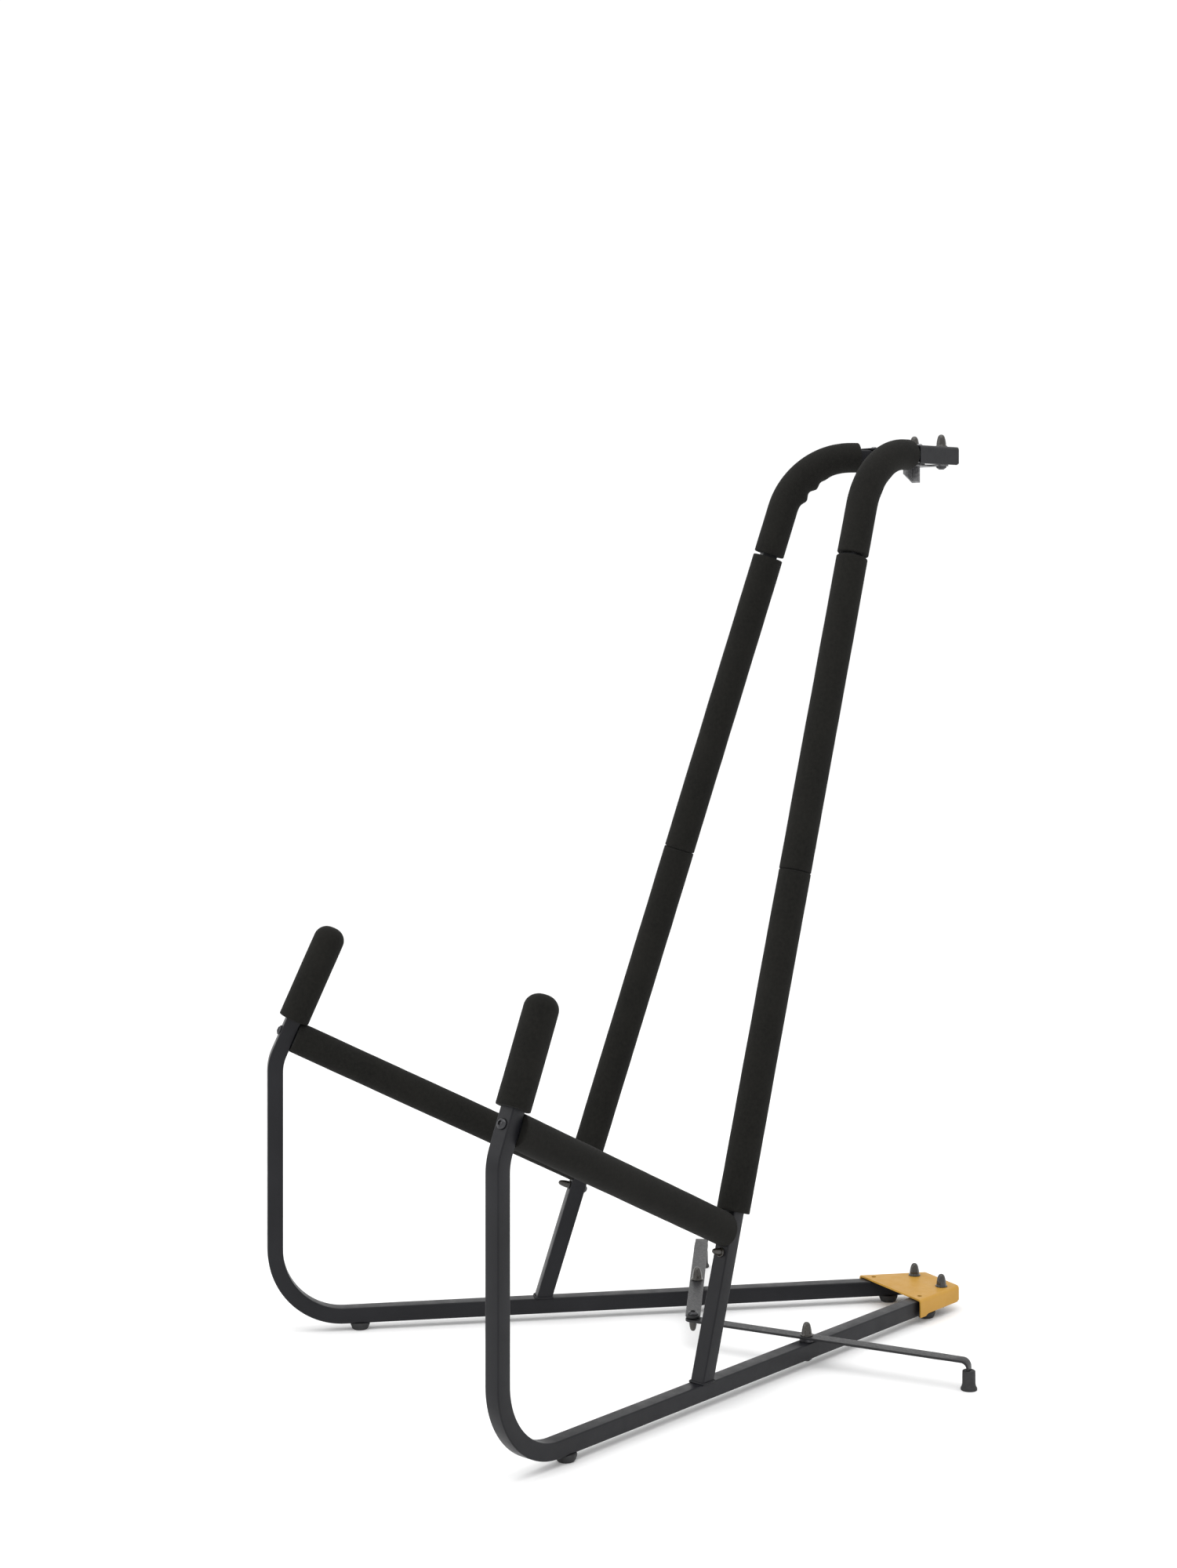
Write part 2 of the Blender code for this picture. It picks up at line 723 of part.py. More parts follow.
def outrigger_foot(tag, coll, mats, parent):
    """Rubber cup pushed on the leg's end, flared at the floor."""
    slot = slot_outline(ARM_T / 2 + GAP, ARM_LEG_W / 2 + GAP, 4)
    rings = []
    for height in (LEG_END_Z - FIT, CUP_TOP):
        rings.append([(ARM_OUT + x, y, height) for x, y in slot])
    outside = (
        (CUP_NECK_R, CUP_TOP), (CUP_R * 0.98, CUP_TOP * 0.95), (CUP_R, CUP_FLARE_H),
        (CUP_FLARE_R * 0.96, CUP_FLARE_H * 0.64), (CUP_FLARE_R, CUP_FLARE_H * 0.32),
        (CUP_FLARE_R * 0.97, 0.0),
    )
    for radius, height in outside:
        rings.append([(ARM_OUT + x, y, height) for x, y in even_circle(radius, 4)])
    return loft(f"{tag}_outrigger_foot", rings, coll, mats["rubber"], parent)


def centre_joint(coll, mats, right_parent, left_parent):
    """Pin joining the inner arm ends; the head rides on the left arm, the nut on the right."""
    over = Matrix.Translation((-ARM_IN, 0.0, LEFT_ARM_Z + ARM_T + FIT))
    bolt("center_bolt", over, CENTRE_HEAD_R, CENTRE_HEAD_H, SMALL_BOLT_R, ARM_T + 2 * FIT, coll,
         mats["bolt"], left_parent)
    under = Matrix.Translation((-ARM_IN, 0.0, RIGHT_ARM_Z - FIT))
    under = under @ Matrix.Rotation(math.pi, 4, "X")
    reach = LEFT_ARM_Z - RIGHT_ARM_Z - 2 * FIT
    stub = ((SMALL_BOLT_R, 0.0), (SMALL_BOLT_R, -reach), (0.0, -reach))
    turned("center_cap_nut", cap_outline(CENTRE_NUT_R, CENTRE_NUT_H) + stub, coll, mats["nut"],
           under, right_parent)


# ---------------------------------------------------------------- brackets
def half_width(lat, y):
    """Half the bracket's width at y from the pivots, for a flange lat off the tube."""
    return PIVOT_X + lat / math.cos(SPREAD) - y * math.tan(SPREAD)


def bracket_ring(y, top, bottom):
    """Cross-section of a bracket at one y: a flat top with a flange down each side."""
    outer = half_width(FLANGE_OUT, y)
    inner = half_width(FLANGE_OUT - PLATE_T, y)
    under = top - PLATE_T
    big = PLATE_BEND_R
    small = big - PLATE_T
    ring = []
    for sign in (-1, 1):
        for k in range(5):
            a = math.radians(90 * k / 4) if sign > 0 else math.radians(90 - 90 * k / 4)
            a = math.radians(90) - a
            x = sign * (outer - big + big * math.cos(a))
            ring.append((x, y, top - big + big * math.sin(a)))
        if sign > 0:
            ring.append((outer, y, bottom))
            ring.append((inner, y, bottom))
    for sign in (1, -1):
        for k in range(5):
            a = math.radians(90 * k / 4) if sign > 0 else math.radians(90 - 90 * k / 4)
            x = sign * (inner - small + small * math.cos(a))
            ring.append((x, y, under - small + small * math.sin(a)))
        if sign < 0:
            ring.append((-inner, y, bottom))
            ring.append((-outer, y, bottom))
    return ring


def bracket(name, top, bottom, lip, coll, cutters, mat, parent):
    """Bent-sheet bracket with pivot and detent holes; lip is how much deeper its front is."""
    stops = (
        (PLATE_FRONT, bottom - lip), (PLATE_FRONT + LIP_END, bottom - lip),
        (PLATE_FRONT + LIP_END + LIP_RUN, bottom), (PLATE_REAR - REAR_RISE_RUN, bottom),
        (PLATE_REAR, bottom + REAR_RISE),
    )
    rings = [bracket_ring(y, top, low) for y, low in stops]
    obj = loft(name, rings, coll, mat, parent)
    for tag, side in SIDES:
        pivot = Matrix.Translation((side * PIVOT_X, 0.0, top))
        drill(obj, f"{name}_cut_pivot_{tag}", cutters, pivot, PIVOT_BOLT_R + FIT, HOLE_DEPTH,
              parent)
        detent = Matrix.Translation((side * DETENT_X, DETENT_Y, top))
        drill(obj, f"{name}_cut_detent_{tag}", cutters, detent, DETENT_R, HOLE_DEPTH, parent)
    return obj


def pivot_strap(coll, cutters, mat, parent):
    """Steel strap under the upper tube ends, with a tongue forward for the stop tab."""
    outline = []
    for sign in (1, -1):
        for k in range(9):
            a = math.radians(180 * k / 8 - 90 * sign)
            x = sign * PIVOT_X + STRAP_HALF * math.cos(a)
            outline.append((x, STRAP_HALF * math.sin(a)))
    outline += [
        (TONGUE_LEFT, -STRAP_HALF), (TONGUE_LEFT, TONGUE_FRONT),
        (TONGUE_RIGHT, TONGUE_FRONT), (TONGUE_RIGHT, -STRAP_HALF),
    ]
    obj = flat_piece("pivot_strap", outline, STRAP_TOP - STRAP_T, STRAP_TOP, coll, mat, parent)
    for tag, side in SIDES:
        place = Matrix.Translation((side * PIVOT_X, 0.0, STRAP_TOP))
        drill(obj, f"strap_cut_{tag}", cutters, place, PIVOT_BOLT_R + FIT, 4 * STRAP_T, parent)
    return obj


def stop_tab(coll, mat, parent):
    """Angle-shaped tab under the strap's tongue, its lower edge sloping down to the fold."""
    top = STRAP_TOP - STRAP_T - FIT
    plan = (
        (0.0, TAB_FRONT), (TAB_T, TAB_FRONT), (TAB_T, TAB_FOLD - TAB_T),
        (TAB_RIGHT, TAB_FOLD - TAB_T), (TAB_RIGHT, TAB_FOLD), (0.0, TAB_FOLD),
    )
    slope = (TAB_LOW - TAB_HIGH) / (TAB_FOLD - TAB_FRONT)
    low = [(x, y, TAB_HIGH + slope * (y - TAB_FRONT)) for x, y in plan]
    high = [(x, y, top) for x, y in plan]
    return loft("stop_tab", [low, high], coll, mat, parent)


def pivot_hardware(coll, mats, parent):
    for tag, side in SIDES:
        place = Matrix.Translation((side * PIVOT_X, 0.0, 0.0))
        clamp(f"{tag}_lower_pivot", BASE_Z - TUBE / 2 - GAP, BASE_PLATE_TOP + FIT, place, coll,
              mats, parent)
        clamp(f"{tag}_upper_pivot", STRAP_TOP - STRAP_T - FIT, TOP_PLATE_TOP + FIT, place, coll,
              mats, parent)
        pin = Matrix.Translation((side * DETENT_X, DETENT_Y, TOP_PLATE_TOP + FIT))
        bolt(f"{tag}_detent_pin", pin, DETENT_HEAD_R, DETENT_HEAD_H, DETENT_R - FIT, PLATE_T,
             coll, mats["steel"], parent)


# ---------------------------------------------------------------- assembly
def build():
    clear_scene()
    coll = new_collection("folding_instrument_stand")
    cutters = new_collection("cutters")
    mats = {
        "paint": black_paint(), "gold": gold_paint(), "foam": foam_rubber(), "arm": arm_paint(),
        "nut": nut_plastic(), "rubber": foot_rubber(), "bolt": bolt_steel(),
        "steel": grey_steel(), "plug": plug_plastic(),
    }
    arms = {}
    for tag, side in SIDES:
        place = Matrix.Translation((side * PIVOT_X, PIVOT_Y, 0.0))
        place = place @ Matrix.Rotation(side * SPREAD, 4, "Z")
        frame = empty_at(f"{tag}_frame_axis", place, coll)
        frame_tube(side, tag, coll, cutters, mats, frame)
        back_tube(side, tag, coll, cutters, mats, frame)
        seat_tube(side, tag, coll, mats, frame)
        seat_foam(side, tag, coll, mats, frame)
        hook_foam(side, tag, coll, mats, frame)
        back_foam(f"{tag}_lower_back_foam", side, LOWER_FOAM_Z, MID_JOINT_Z - GAP, coll, mats,
                  frame)
        back_foam(f"{tag}_upper_back_foam", side, MID_JOINT_Z + GAP,
                  UPPER_JOINT_Z - FOAM_CREASE, coll, mats, frame)
        top_foam(side, tag, coll, mats, frame)
        hook_screw(tag, coll, mats, frame)
        seat_insert(side, tag, coll, cutters, mats, frame)
        post_bolt(tag, coll, mats, frame)
        end_plug(f"{tag}_base_end_plug", side, BASE_Z, coll, mats, frame)
        end_plug(f"{tag}_top_end_plug", side, TOP_Z, coll, mats, frame)
        bumper(f"{tag}_front_foot", FOOT_FRONT_S, coll, mats, frame)
        bumper(f"{tag}_rear_foot", FOOT_REAR_S, coll, mats, frame)
        outrigger_pivot(side, tag, coll, mats, frame)
        turn = ARM_ANGLE if side > 0 else math.pi - ARM_ANGLE
        pivot = place @ Vector((0.0, -ARM_S, 0.0))
        arm_place = Matrix.Translation(pivot) @ Matrix.Rotation(turn, 4, "Z")
        arm = empty_at(f"{tag}_outrigger_axis", arm_place, coll)
        outrigger_arm(side, tag, coll, cutters, mats, arm)
        outrigger_foot(tag, coll, mats, arm)
        arms[tag] = arm
    centre_joint(coll, mats, arms["right"], arms["left"])
    hinge = empty_at("hinge_line", Matrix.Translation((0.0, PIVOT_Y, 0.0)), coll)
    bracket("base_plate", BASE_PLATE_TOP, BASE_FLANGE_Z, LIP_DROP, coll, cutters, mats["gold"],
            hinge)
    bracket("top_plate", TOP_PLATE_TOP, TOP_FLANGE_Z, 0.0, coll, cutters, mats["paint"], hinge)
    pivot_strap(coll, cutters, mats["steel"], hinge)
    stop_tab(coll, mats["steel"], hinge)
    pivot_hardware(coll, mats, hinge)
    bpy.context.view_layer.update()


build()
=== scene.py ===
"""Looks of the folding instrument stand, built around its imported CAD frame."""
import math

import bmesh
import bpy
from mathutils import Matrix
from mathutils import Vector
from mathutils import noise


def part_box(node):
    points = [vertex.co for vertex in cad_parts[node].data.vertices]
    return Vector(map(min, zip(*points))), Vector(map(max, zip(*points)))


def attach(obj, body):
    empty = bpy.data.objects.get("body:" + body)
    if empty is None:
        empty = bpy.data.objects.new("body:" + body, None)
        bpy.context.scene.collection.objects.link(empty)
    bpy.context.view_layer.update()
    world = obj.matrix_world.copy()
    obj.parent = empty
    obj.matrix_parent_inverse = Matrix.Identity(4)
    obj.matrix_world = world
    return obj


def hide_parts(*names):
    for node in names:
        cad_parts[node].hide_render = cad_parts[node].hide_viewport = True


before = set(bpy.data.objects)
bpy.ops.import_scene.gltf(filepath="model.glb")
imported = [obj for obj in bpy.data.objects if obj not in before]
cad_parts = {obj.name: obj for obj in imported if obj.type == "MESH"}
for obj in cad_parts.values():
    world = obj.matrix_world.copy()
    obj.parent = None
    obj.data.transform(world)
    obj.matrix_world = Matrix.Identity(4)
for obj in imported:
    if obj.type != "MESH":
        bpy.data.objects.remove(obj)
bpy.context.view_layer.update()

# ---------------------------------------------------------------- driving dimensions (metres)
TUBE = 0.020
TUBE_WALL = 0.0012
TUBE_CORNER = 0.0018
SPREAD = math.radians(19.357)
PIVOT_X = 0.0298
PIVOT_Y = 0.4005

BASE_Z = 0.0195
UPRIGHT_S = 0.8602
BEND_R = 0.0900
REAR_S = -0.0100
HOOK_S = 0.8361
HOOK_Z = 0.4057
HOOK_SLOPE = -0.4446
HOOK_TUBE_TOP = 0.5118
HOOK_TIP = 0.5226
HOOK_BEND_R = 0.060
BACK_S0 = 0.5177
BACK_SLOPE = -0.3125
TOP_Z = 1.1390
TOP_BEND_R = 0.100
SEAT_S = 0.4561
SEAT_Z = 0.1963
SEAT_SLOPE = 0.4924
SEAT_INSET = TUBE * 0.6

FOAM_R = 0.0201
FOAM_HOLE = 0.0206
FOAM_EDGE = 0.0014
FOAM_SEGMENTS = 56
FOAM_PITCH = 0.0035
HOOK_PITCH = 0.0040
LIP_PARTS = (0.12, 0.3, 0.6, 1.0)
LOWER_FOAM_Z = 0.2192
MID_JOINT_Z = 0.6161
UPPER_JOINT_Z = 1.0065
FOAM_CREASE = 0.0020
TOP_FOAM_END_S = 0.0790
DOME_R = 0.0168
GAP = 0.0003
FIT = 0.0001

PIVOT_BOLT_R = 0.0040
SMALL_BOLT_R = 0.0025
SCREW_R = 0.0025
ARM_ANGLE = math.radians(33.65)
ARM_S = 0.3010
ARM_T = 0.0030
ARM_LEG_W = 0.012
ARM_IN = (PIVOT_X + ARM_S * math.sin(SPREAD)) / math.cos(ARM_ANGLE)
ARM_OUT = 0.2106
LEFT_ARM_Z = 0.0386
RIGHT_ARM_Z = 0.0334
LEG_END_Z = 0.0074
CUP_TOP = 0.0236
POST_BOLT_Z = 0.1722
NUT_GRIP = 0.0080
NUT_END_GAP = 0.0006
PIVOT_NUT_W = 0.0160
PIVOT_NUT_H = 0.0165
PIVOT_HEAD_R = 0.0070
PIVOT_HEAD_H = 0.0042
SMALL_NUT_W = 0.0116
SMALL_NUT_H = 0.0150
SMALL_HEAD_R = 0.0052
SMALL_HEAD_H = 0.0036
SCREW_HEAD_R = 0.0064
SCREW_HEAD_H = 0.0034
SCREW_REACH = 0.0210
CENTRE_HEAD_R = 0.0068
CENTRE_HEAD_H = 0.0040
CENTRE_NUT_W = 0.0124
CENTRE_NUT_H = 0.0130
FOOT_FRONT_S = 0.7499
FOOT_REAR_S = 0.0368
FOOT_H = 0.0092
WELD_R = 0.001485
WELD_RIPPLE = 0.0022
WELD_PITCH = 0.0007
WELD_OFFSET = 0.0004
WELD_LIFT = 0.0006

SIDES = (("right", 1), ("left", -1))
HOOK_DIR = Vector((HOOK_SLOPE, 1.0)).normalized()
BACK_DIR = Vector((BACK_SLOPE, 1.0)).normalized()
SEAT_DIR = Vector((1.0, SEAT_SLOPE)).normalized()


# ---------------------------------------------------------------- material nodes
class Shader:
    """A Principled material with helpers that add procedural nodes to it."""

    def __init__(self, name, colour, roughness, metallic=0.0):
        self.mat = bpy.data.materials.new(name)
        self.mat.use_nodes = True
        self.tree = self.mat.node_tree
        self.out = self.tree.nodes["Principled BSDF"]
        self.out.inputs["Base Color"].default_value = (*colour, 1.0)
        self.out.inputs["Roughness"].default_value = roughness
        self.out.inputs["Metallic"].default_value = metallic
        self.coords = self.tree.nodes.new("ShaderNodeTexCoord").outputs["Object"]

    def link(self, a, b):
        self.tree.links.new(a, b)

    def noise(self, scale, detail=3.0, rough=0.5, stretch=None, distortion=0.0):
        node = self.tree.nodes.new("ShaderNodeTexNoise")
        node.inputs["Scale"].default_value = scale
        node.inputs["Detail"].default_value = detail
        node.inputs["Roughness"].default_value = rough
        node.inputs["Distortion"].default_value = distortion
        self.link(self.stretched(stretch), node.inputs["Vector"])
        return node.outputs["Fac"]

    def cells(self, scale):
        node = self.tree.nodes.new("ShaderNodeTexVoronoi")
        node.inputs["Scale"].default_value = scale
        self.link(self.coords, node.inputs["Vector"])
        return node.outputs["Distance"]

    def stretched(self, stretch):
        if stretch is None:
            return self.coords
        node = self.tree.nodes.new("ShaderNodeMapping")
        node.inputs["Scale"].default_value = stretch
        self.link(self.coords, node.inputs["Vector"])
        return node.outputs["Vector"]

    def ramp(self, source, stops):
        """stops is (position, grey level), in order."""
        node = self.tree.nodes.new("ShaderNodeValToRGB")
        elements = node.color_ramp.elements
        while len(elements) < len(stops):
            elements.new(0.5)
        for element, (position, grey) in zip(elements, stops):
            element.position = position
            element.color = (grey, grey, grey, 1.0)
        self.link(source, node.inputs["Fac"])
        return node.outputs["Color"]

    def span(self, source, low, high, from_low=0.3, from_high=0.7):
        node = self.tree.nodes.new("ShaderNodeMapRange")
        node.inputs["From Min"].default_value = from_low
        node.inputs["From Max"].default_value = from_high
        node.inputs["To Min"].default_value = low
        node.inputs["To Max"].default_value = high
        self.link(source, node.inputs["Value"])
        return node.outputs["Result"]

    def mix(self, factor, a, b):
        node = self.tree.nodes.new("ShaderNodeMix")
        node.data_type = "RGBA"
        self.link(factor, node.inputs["Factor"])
        for socket, value in ((node.inputs["A"], a), (node.inputs["B"], b)):
            if isinstance(value, tuple):
                socket.default_value = (*value, 1.0)
            else:
                self.link(value, socket)
        return node.outputs["Result"]

    def colour(self, output):
        self.link(output, self.out.inputs["Base Color"])

    def roughness(self, output):
        self.link(output, self.out.inputs["Roughness"])

    def bump(self, layers):
        """layers is (height output, strength, distance), the coarsest first."""
        normal = None
        for height, strength, distance in layers:
            node = self.tree.nodes.new("ShaderNodeBump")
            node.inputs["Strength"].default_value = strength
            node.inputs["Distance"].default_value = distance
            self.link(height, node.inputs["Height"])
            if normal is not None:
                self.link(normal, node.inputs["Normal"])
            normal = node.outputs["Normal"]
        self.link(normal, self.out.inputs["Normal"])

    def set(self, values):
        for name, value in values.items():
            self.out.inputs[name].default_value = value


def black_powder_coat():
    s = Shader("black_powder_coat", (0.007, 0.007, 0.009), 0.40)
    cloud = s.noise(14.0, 4.0)
    peel = s.noise(850.0, 2.0)
    fine = s.noise(2600.0, 2.0)
    specks = s.ramp(s.cells(420.0), ((0.0, 1.0), (0.045, 1.0), (0.07, 0.0)))
    base = s.mix(s.span(cloud, 0.0, 1.0), (0.0055, 0.0056, 0.0072), (0.0090, 0.0093, 0.0115))
    s.colour(s.mix(s.span(specks, 0.0, 0.16, 0.0, 1.0), base, (0.12, 0.12, 0.13)))
    s.roughness(s.span(s.noise(60.0, 5.0, 0.65), 0.33, 0.47))
    s.bump(((peel, 0.22, 0.0004), (fine, 0.12, 0.0002)))
    s.set({"Specular IOR Level": 0.22})
    return s.mat


def gold_powder_coat():
    s = Shader("gold_powder_coat", (0.58, 0.36, 0.10), 0.42)
    cloud = s.noise(22.0, 4.0)
    peel = s.noise(780.0, 2.0)
    grains = s.noise(2400.0, 2.0)
    base = s.mix(s.span(cloud, 0.0, 1.0), (0.455, 0.245, 0.040), (0.510, 0.285, 0.056))
    s.colour(s.mix(s.span(grains, 0.0, 0.35), base, (0.390, 0.205, 0.030)))
    s.roughness(s.span(s.noise(70.0, 5.0, 0.6), 0.36, 0.50))
    s.bump(((peel, 0.20, 0.0004), (grains, 0.10, 0.0002)))
    s.set({"Specular IOR Level": 0.16})
    return s.mat


def foam_rubber():
    s = Shader("foam_rubber", (0.024, 0.024, 0.021), 0.92)
    patches = s.noise(18.0, 5.0, 0.6)
    mottling = s.noise(240.0, 4.0, 0.65)
    pores = s.cells(1500.0)
    crumbs = s.noise(900.0, 3.0, 0.7)
    base = s.mix(s.span(patches, 0.0, 1.0), (0.0060, 0.0060, 0.0054), (0.0098, 0.0095, 0.0084))
    grain = s.mix(s.span(mottling, 0.0, 0.6), base, (0.0165, 0.0160, 0.0142))
    # painted shade: the pore cells are darkened to near black towards their centres, shade painted
    # into the pits
    s.colour(s.mix(s.ramp(pores, ((0.0, 0.75), (0.22, 0.0))), grain, (0.002, 0.002, 0.0018)))
    s.roughness(s.span(mottling, 0.84, 0.97))
    s.bump(((mottling, 0.25, 0.0008), (crumbs, 0.35, 0.0005), (pores, 0.30, 0.0003)))
    s.set({"Sheen Weight": 0.02, "Sheen Roughness": 0.5, "Specular IOR Level": 0.09})
    return s.mat


def gunmetal_coat():
    s = Shader("gunmetal_coat", (0.015, 0.015, 0.016), 0.40, 0.10)
    cloud = s.noise(26.0, 4.0)
    streaks = s.noise(500.0, 3.0, 0.6, stretch=(0.35, 1.0, 1.0))
    peel = s.noise(1100.0, 2.0)
    scuffs = s.ramp(s.noise(95.0, 6.0, 0.75, distortion=0.6), ((0.60, 0.0), (0.74, 1.0)))
    base = s.mix(s.span(cloud, 0.0, 1.0), (0.010, 0.010, 0.011), (0.019, 0.019, 0.0205))
    s.colour(s.mix(s.span(scuffs, 0.0, 0.35, 0.0, 1.0), base, (0.110, 0.106, 0.100)))
    s.roughness(s.span(streaks, 0.32, 0.50))
    s.bump(((streaks, 0.10, 0.0003), (peel, 0.15, 0.0002)))
    s.set({"Specular IOR Level": 0.30})
    return s.mat


def cap_plastic():
    s = Shader("cap_plastic", (0.020, 0.017, 0.013), 0.20)
    cloud = s.noise(160.0, 4.0)
    smears = s.noise(420.0, 4.0, 0.6)
    s.colour(s.mix(s.span(cloud, 0.0, 1.0), (0.014, 0.012, 0.010), (0.030, 0.026, 0.020)))
    s.roughness(s.span(smears, 0.14, 0.34))
    s.bump(((smears, 0.10, 0.0002),))
    s.set({"Coat Weight": 0.25, "Coat Roughness": 0.12})
    return s.mat


def foot_rubber():
    s = Shader("foot_rubber", (0.016, 0.016, 0.017), 0.75)
    cloud = s.noise(90.0, 4.0)
    grain = s.noise(1300.0, 3.0, 0.6)
    dust = s.ramp(s.noise(140.0, 6.0, 0.7), ((0.52, 0.0), (0.76, 1.0)))
    base = s.mix(s.span(cloud, 0.0, 1.0), (0.012, 0.012, 0.013), (0.020, 0.020, 0.021))
    s.colour(s.mix(s.span(dust, 0.0, 0.22, 0.0, 1.0), base, (0.070, 0.068, 0.065)))
    s.roughness(s.span(grain, 0.62, 0.85))
    s.bump(((grain, 0.25, 0.0003),))
    return s.mat


def black_bolt_steel():
    s = Shader("black_bolt_steel", (0.040, 0.040, 0.043), 0.34, 0.75)
    cloud = s.noise(300.0, 4.0)
    s.colour(s.mix(s.span(cloud, 0.0, 1.0), (0.030, 0.030, 0.033), (0.062, 0.062, 0.066)))
    s.roughness(s.span(s.noise(700.0, 4.0, 0.6), 0.26, 0.44))
    s.bump(((s.noise(1600.0, 2.0), 0.10, 0.0002),))
    return s.mat


def grey_steel():
    s = Shader("grey_steel", (0.20, 0.20, 0.205), 0.36, 0.9)
    brushed = s.noise(260.0, 4.0, 0.6, stretch=(0.12, 1.0, 1.0))
    spangle = s.cells(240.0)
    base = s.mix(s.span(spangle, 0.0, 1.0, 0.0, 0.9), (0.15, 0.15, 0.155), (0.26, 0.26, 0.265))
    s.colour(base)
    s.roughness(s.span(brushed, 0.28, 0.48))
    s.bump(((brushed, 0.15, 0.0002),))
    return s.mat


def plug_plastic():
    s = Shader("plug_plastic", (0.024, 0.024, 0.026), 0.55)
    grain = s.noise(1500.0, 3.0, 0.6)
    s.colour(s.mix(s.span(s.noise(120.0), 0.0, 1.0), (0.018, 0.018, 0.020), (0.031, 0.031, 0.033)))
    s.roughness(s.span(grain, 0.48, 0.64))
    s.bump(((grain, 0.2, 0.0002),))
    return s.mat


def pale_floor():
    s = Shader("pale_floor", (0.96, 0.96, 0.96), 0.65)
    cloud = s.noise(3.0, 3.0)
    s.colour(s.mix(s.span(cloud, 0.0, 1.0), (0.955, 0.955, 0.955), (0.970, 0.970, 0.970)))
    s.bump(((s.noise(220.0, 3.0), 0.03, 0.0005),))
    s.set({"Specular IOR Level": 0.2})
    return s.mat


MATERIALS = {
    make.__name__: make()
    for make in (
        black_powder_coat, gold_powder_coat, foam_rubber, gunmetal_coat, cap_plastic,
        foot_rubber, black_bolt_steel, grey_steel, plug_plastic,
    )
}


# ---------------------------------------------------------------- piece helpers
def frame_place(side):
    """World matrix of a side frame: local x is outward, local -y is forward from the pivot."""
    turn = Matrix.Rotation(side * SPREAD, 4, "Z")
    return Matrix.Translation((side * PIVOT_X, PIVOT_Y, 0.0)) @ turn


def arm_place(side):
    """World matrix of an outrigger arm: local x runs outward along the arm from its bolt."""
    turn = ARM_ANGLE if side > 0 else math.pi - ARM_ANGLE
    pivot = frame_place(side) @ Vector((0.0, -ARM_S, 0.0))
    return Matrix.Translation(pivot) @ Matrix.Rotation(turn, 4, "Z")


def finish_mesh(work, name, slot, body, nodes, place=None, angle=35.0):
    """Makes the piece, in world coordinates, riding on its body and standing for its nodes."""
    if place is not None:
        bmesh.ops.transform(work, matrix=place, verts=work.verts)
    bmesh.ops.recalc_face_normals(work, faces=work.faces)
    mesh = bpy.data.meshes.new(name)
    work.to_mesh(mesh)
    work.free()
    mesh.shade_smooth()
    mesh.set_sharp_from_angle(angle=math.radians(angle))
    mesh.materials.append(MATERIALS[slot])
    piece = bpy.data.objects.new(name, mesh)
    bpy.context.scene.collection.objects.link(piece)
    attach(piece, body)
    if nodes:
        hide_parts(*nodes)
    return piece


def skin(rings, closed_loop=False):
    """Mesh through rings of equal length, capped at both ends unless it is a closed loop."""
    work = bmesh.new()
    made = [[work.verts.new(p) for p in ring] for ring in rings]
    pairs = list(zip(made, made[1:]))
    if closed_loop:
        pairs.append((made[-1], made[0]))
    else:
        work.faces.new(made[0])
        work.faces.new(made[-1])
    for low, high in pairs:
        for i in range(len(low)):
            k = i - 1
            work.faces.new((low[k], low[i], high[i], high[k]))
    return work


def rounded_square(half, corner, per_corner):
    points = []
    for k in range(4):
        middle = math.radians(45 + 90 * k)
        cx = math.copysign(half - corner, math.cos(middle))
        cy = math.copysign(half - corner, math.sin(middle))
        for j in range(per_corner):
            a = math.radians(90 * k + 90 * j / (per_corner - 1))
            points.append((cx + corner * math.cos(a), cy + corner * math.sin(a)))
    return points


def route(corners, radii, steps):
    """Points and headings of a line through the corners, with an arc at each inner corner."""
    pts = [Vector(c) for c in corners]
    stations = [(pts[0].copy(), (pts[1] - pts[0]).normalized())]
    for i in range(1, len(pts) - 1):
        before = (pts[i] - pts[i - 1]).normalized()
        after = (pts[i + 1] - pts[i]).normalized()
        turn = before.angle_signed(after)
        start = pts[i] - before * radii[i - 1] * math.tan(abs(turn) / 2)
        toward = Vector((-before.y, before.x)) * (-1 if turn > 0 else 1)
        centre = start + toward * radii[i - 1]
        for k in range(steps[i - 1] + 1):
            swing = Matrix.Rotation(-turn * k / steps[i - 1], 2)
            stations.append((centre + swing @ (start - centre), swing @ before))
    stations.append((pts[-1].copy(), (pts[-1] - pts[-2]).normalized()))
    return stations


def section(side, station, profile, plane=None):
    """One ring of a swept profile. plane is (point, normal) that an end ring is slid onto."""
    point, head = station
    normal = Vector((-head.y, head.x))
    ring = []
    for a, b in profile:
        q = point + normal * b
        if plane is not None:
            q = q + head * ((plane[0] - q).dot(plane[1]) / head.dot(plane[1]))
        ring.append((side * a, -q.x, q.y))
    return ring


def hook_s(z):
    return HOOK_S + HOOK_SLOPE * (z - HOOK_Z)


def back_s(z):
    return BACK_S0 + BACK_SLOPE * z


def square(direction):
    """Unit vector square to a leaning tube, pointing forward and up."""
    return Vector((direction.y, -direction.x))


def crossing(line_point, line_dir):
    """Where the seat tube's middle line meets another tube's."""
    base = Vector((SEAT_S, SEAT_Z))
    span = line_dir.x * SEAT_DIR.y - line_dir.y * SEAT_DIR.x
    diff = base - line_point
    return line_point + line_dir * ((diff.x * SEAT_DIR.y - diff.y * SEAT_DIR.x) / span)


SEAT_FRONT = crossing(Vector((HOOK_S, HOOK_Z)), HOOK_DIR)
SEAT_REAR = crossing(Vector((BACK_S0, 0.0)), BACK_DIR)


